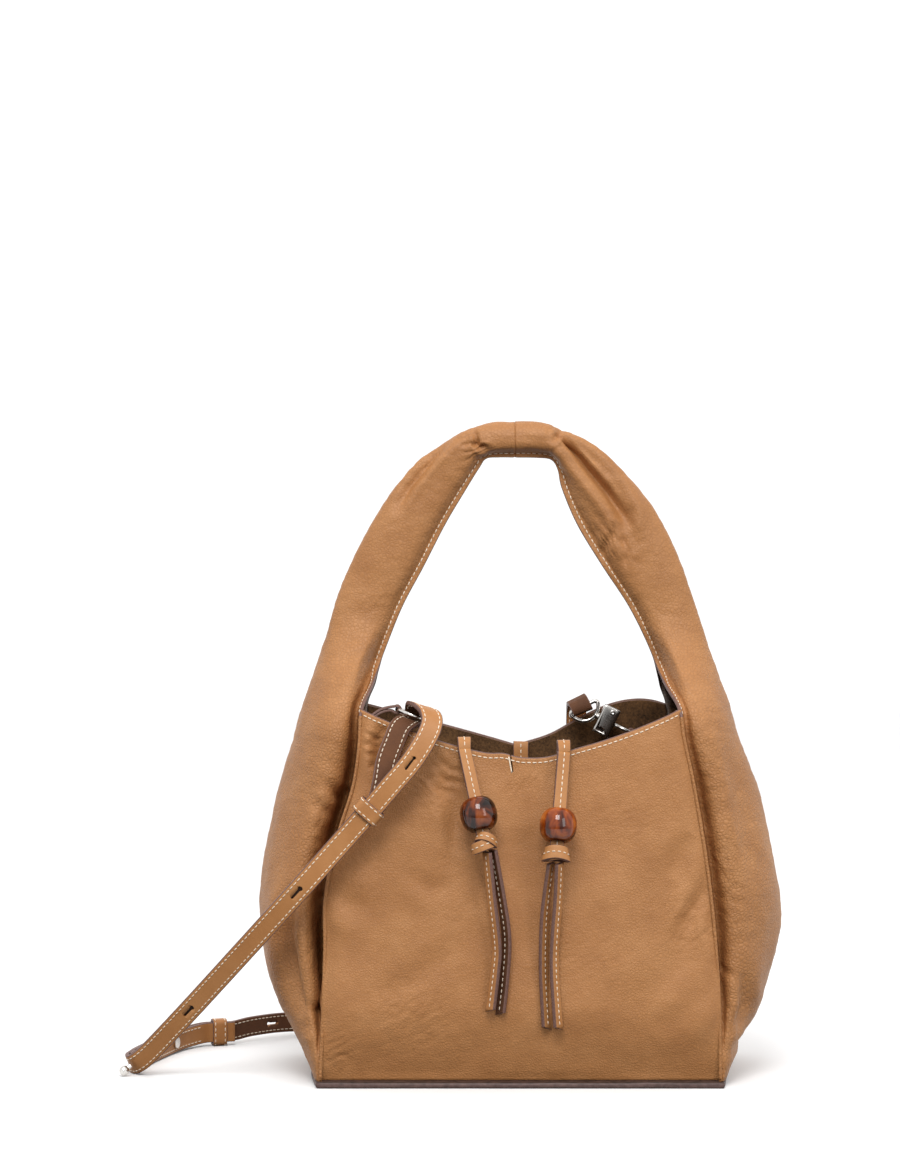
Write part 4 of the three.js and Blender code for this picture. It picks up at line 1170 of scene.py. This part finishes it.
def make_rings():
    """Smooth wires for the two corner rings and the eye with its swivel post."""
    corners = np.array([v.co[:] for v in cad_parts["ring_left"].data.vertices]) / MM
    corners = np.unique(np.round(corners, 3), axis=0)
    centre = corners.mean(axis=0)
    first, second, _ = np.linalg.svd(corners - centre)[2]
    turn = np.linspace(0, 2 * math.pi, 96, endpoint=False)
    left_radius = 10.5
    left = [centre + left_radius * (first * math.cos(a) + second * math.sin(a)) for a in turn]
    wire("ring_left_wire", left, 1.2, "ring_left")

    half = [(-1.1, 0), (-0.8, 1.2), (1, 1.6), (4.5, 1.7), (7.2, 3.0), (9.6, 4.9), (12.2, 5.3), (15.1, 4.9), (16.1, 3.4),
            (16.2, 0)]
    outline = half + [(x, -y) for x, y in half[-2:0:-1]] + [half[0]]
    wire("ring_right_wire", even_path([in_hook(x, y, 0) for x, y in outline], WIRE_STEP)[:-1], 1.1, "ring_right")

    eye_centre, radius = np.array([40, 35, 209.6]), 8.8
    bar = [(radius * share, 0) for share in (0.8, 0.3, -0.3, -0.8)]
    bow = [(radius * math.cos(a), radius * math.sin(a))
           for a in np.radians([188, 204, 222, 246, 270, 294, 318, 336, 352])]
    eye = even_path([eye_centre + EYE_BAR * x + EYE_UP * z for x, z in bar + bow + bar[:1]], WIRE_STEP)
    wire("eye_wire", eye[:-1], 1.25, "hook_eye")
    profile = [(0, 0), (1.9, 0), (2.1, 0.3), (2.1, 0.9), (1.3, 1.1), (1.3, 1.5), (2.0, 1.7), (2.2, 2.0), (2.2, 2.6),
               (1.9, 2.85), (0, 2.85)]
    post = revolve("swivel_post", profile, in_hook(-8.0, 0, 0), HOOK_RIGHT, NICKEL, segments=32)
    finish_piece(post, "bag", "nickel")


make_hook_plate()
make_rings()


# ---- Floor and light ----
FLOOR_LEVEL = -0.2
WORLD_LIGHT = 1.13
# The light fades out between these heights of its direction; a direction from the front counts as lower.
DARK_BELOW = -0.4
LIT_ABOVE = -0.04
FRONT_SHADE = 0.34


def make_stage():
    corners = [(x, y, FLOOR_LEVEL) for x, y in ((-4000, -2500), (4000, -2500), (4000, 4500), (-4000, 4500))]
    pale = plain_material("floor", (0.88, 0.88, 0.88, 1), (0.91, 0.91, 0.91, 1), 0.8, scale=3.0, bump_strength=0.0)
    floor = mesh_object("floor", corners, [[0, 1, 2, 3]], [pale])
    floor.visible_diffuse = False
    world = bpy.context.scene.world or bpy.data.worlds.new("world")
    bpy.context.scene.world = world
    world.use_nodes = True
    tree = world.node_tree
    direction = add_node(tree, "TexCoord", out="Generated")
    # dimmer low down in front, so that leather turned to the floor falls into shade
    towards_front = add_node(tree, "Math", add_node(tree, "SeparateXYZ", direction, out="Y"), 0.0, operation="MINIMUM")
    height = add_node(tree, "Math", towards_front, FRONT_SHADE, add_node(tree, "SeparateXYZ", direction, out="Z"),
                      operation="MULTIPLY_ADD")
    level = add_node(tree, "MapRange", height, DARK_BELOW, LIT_ABOVE, 0.0, WORLD_LIGHT)
    seen = add_node(tree, "Math", add_node(tree, "LightPath", out="Is Camera Ray"), WORLD_LIGHT, operation="MULTIPLY")
    strength = add_node(tree, "Math", level, seen, operation="MAXIMUM")
    set_values(tree, tree.nodes["Background"], {"Strength": strength, "Color": (1, 1, 1, 1)})


def area_light(name, place, target, wide, tall, power):
    data = bpy.data.lights.new(name, "AREA")
    data.shape = "RECTANGLE"
    data.size = wide
    data.size_y = tall
    data.energy = power
    lamp = bpy.data.objects.new(name, data)
    bpy.context.scene.collection.objects.link(lamp)
    lamp.location = place
    lamp.rotation_euler = (Vector(target) - Vector(place)).to_track_quat("-Z", "Y").to_euler()


make_stage()
area_light("key", (-0.14, -1.2, 1.45), (0, 0, 0.24), 0.7, 0.7, 18)
area_light("fill", (0.9, -1.3, 0.8), (0, 0, 0.2), 0.45, 0.9, 5)
bpy.context.scene.view_settings.view_transform = "Standard"
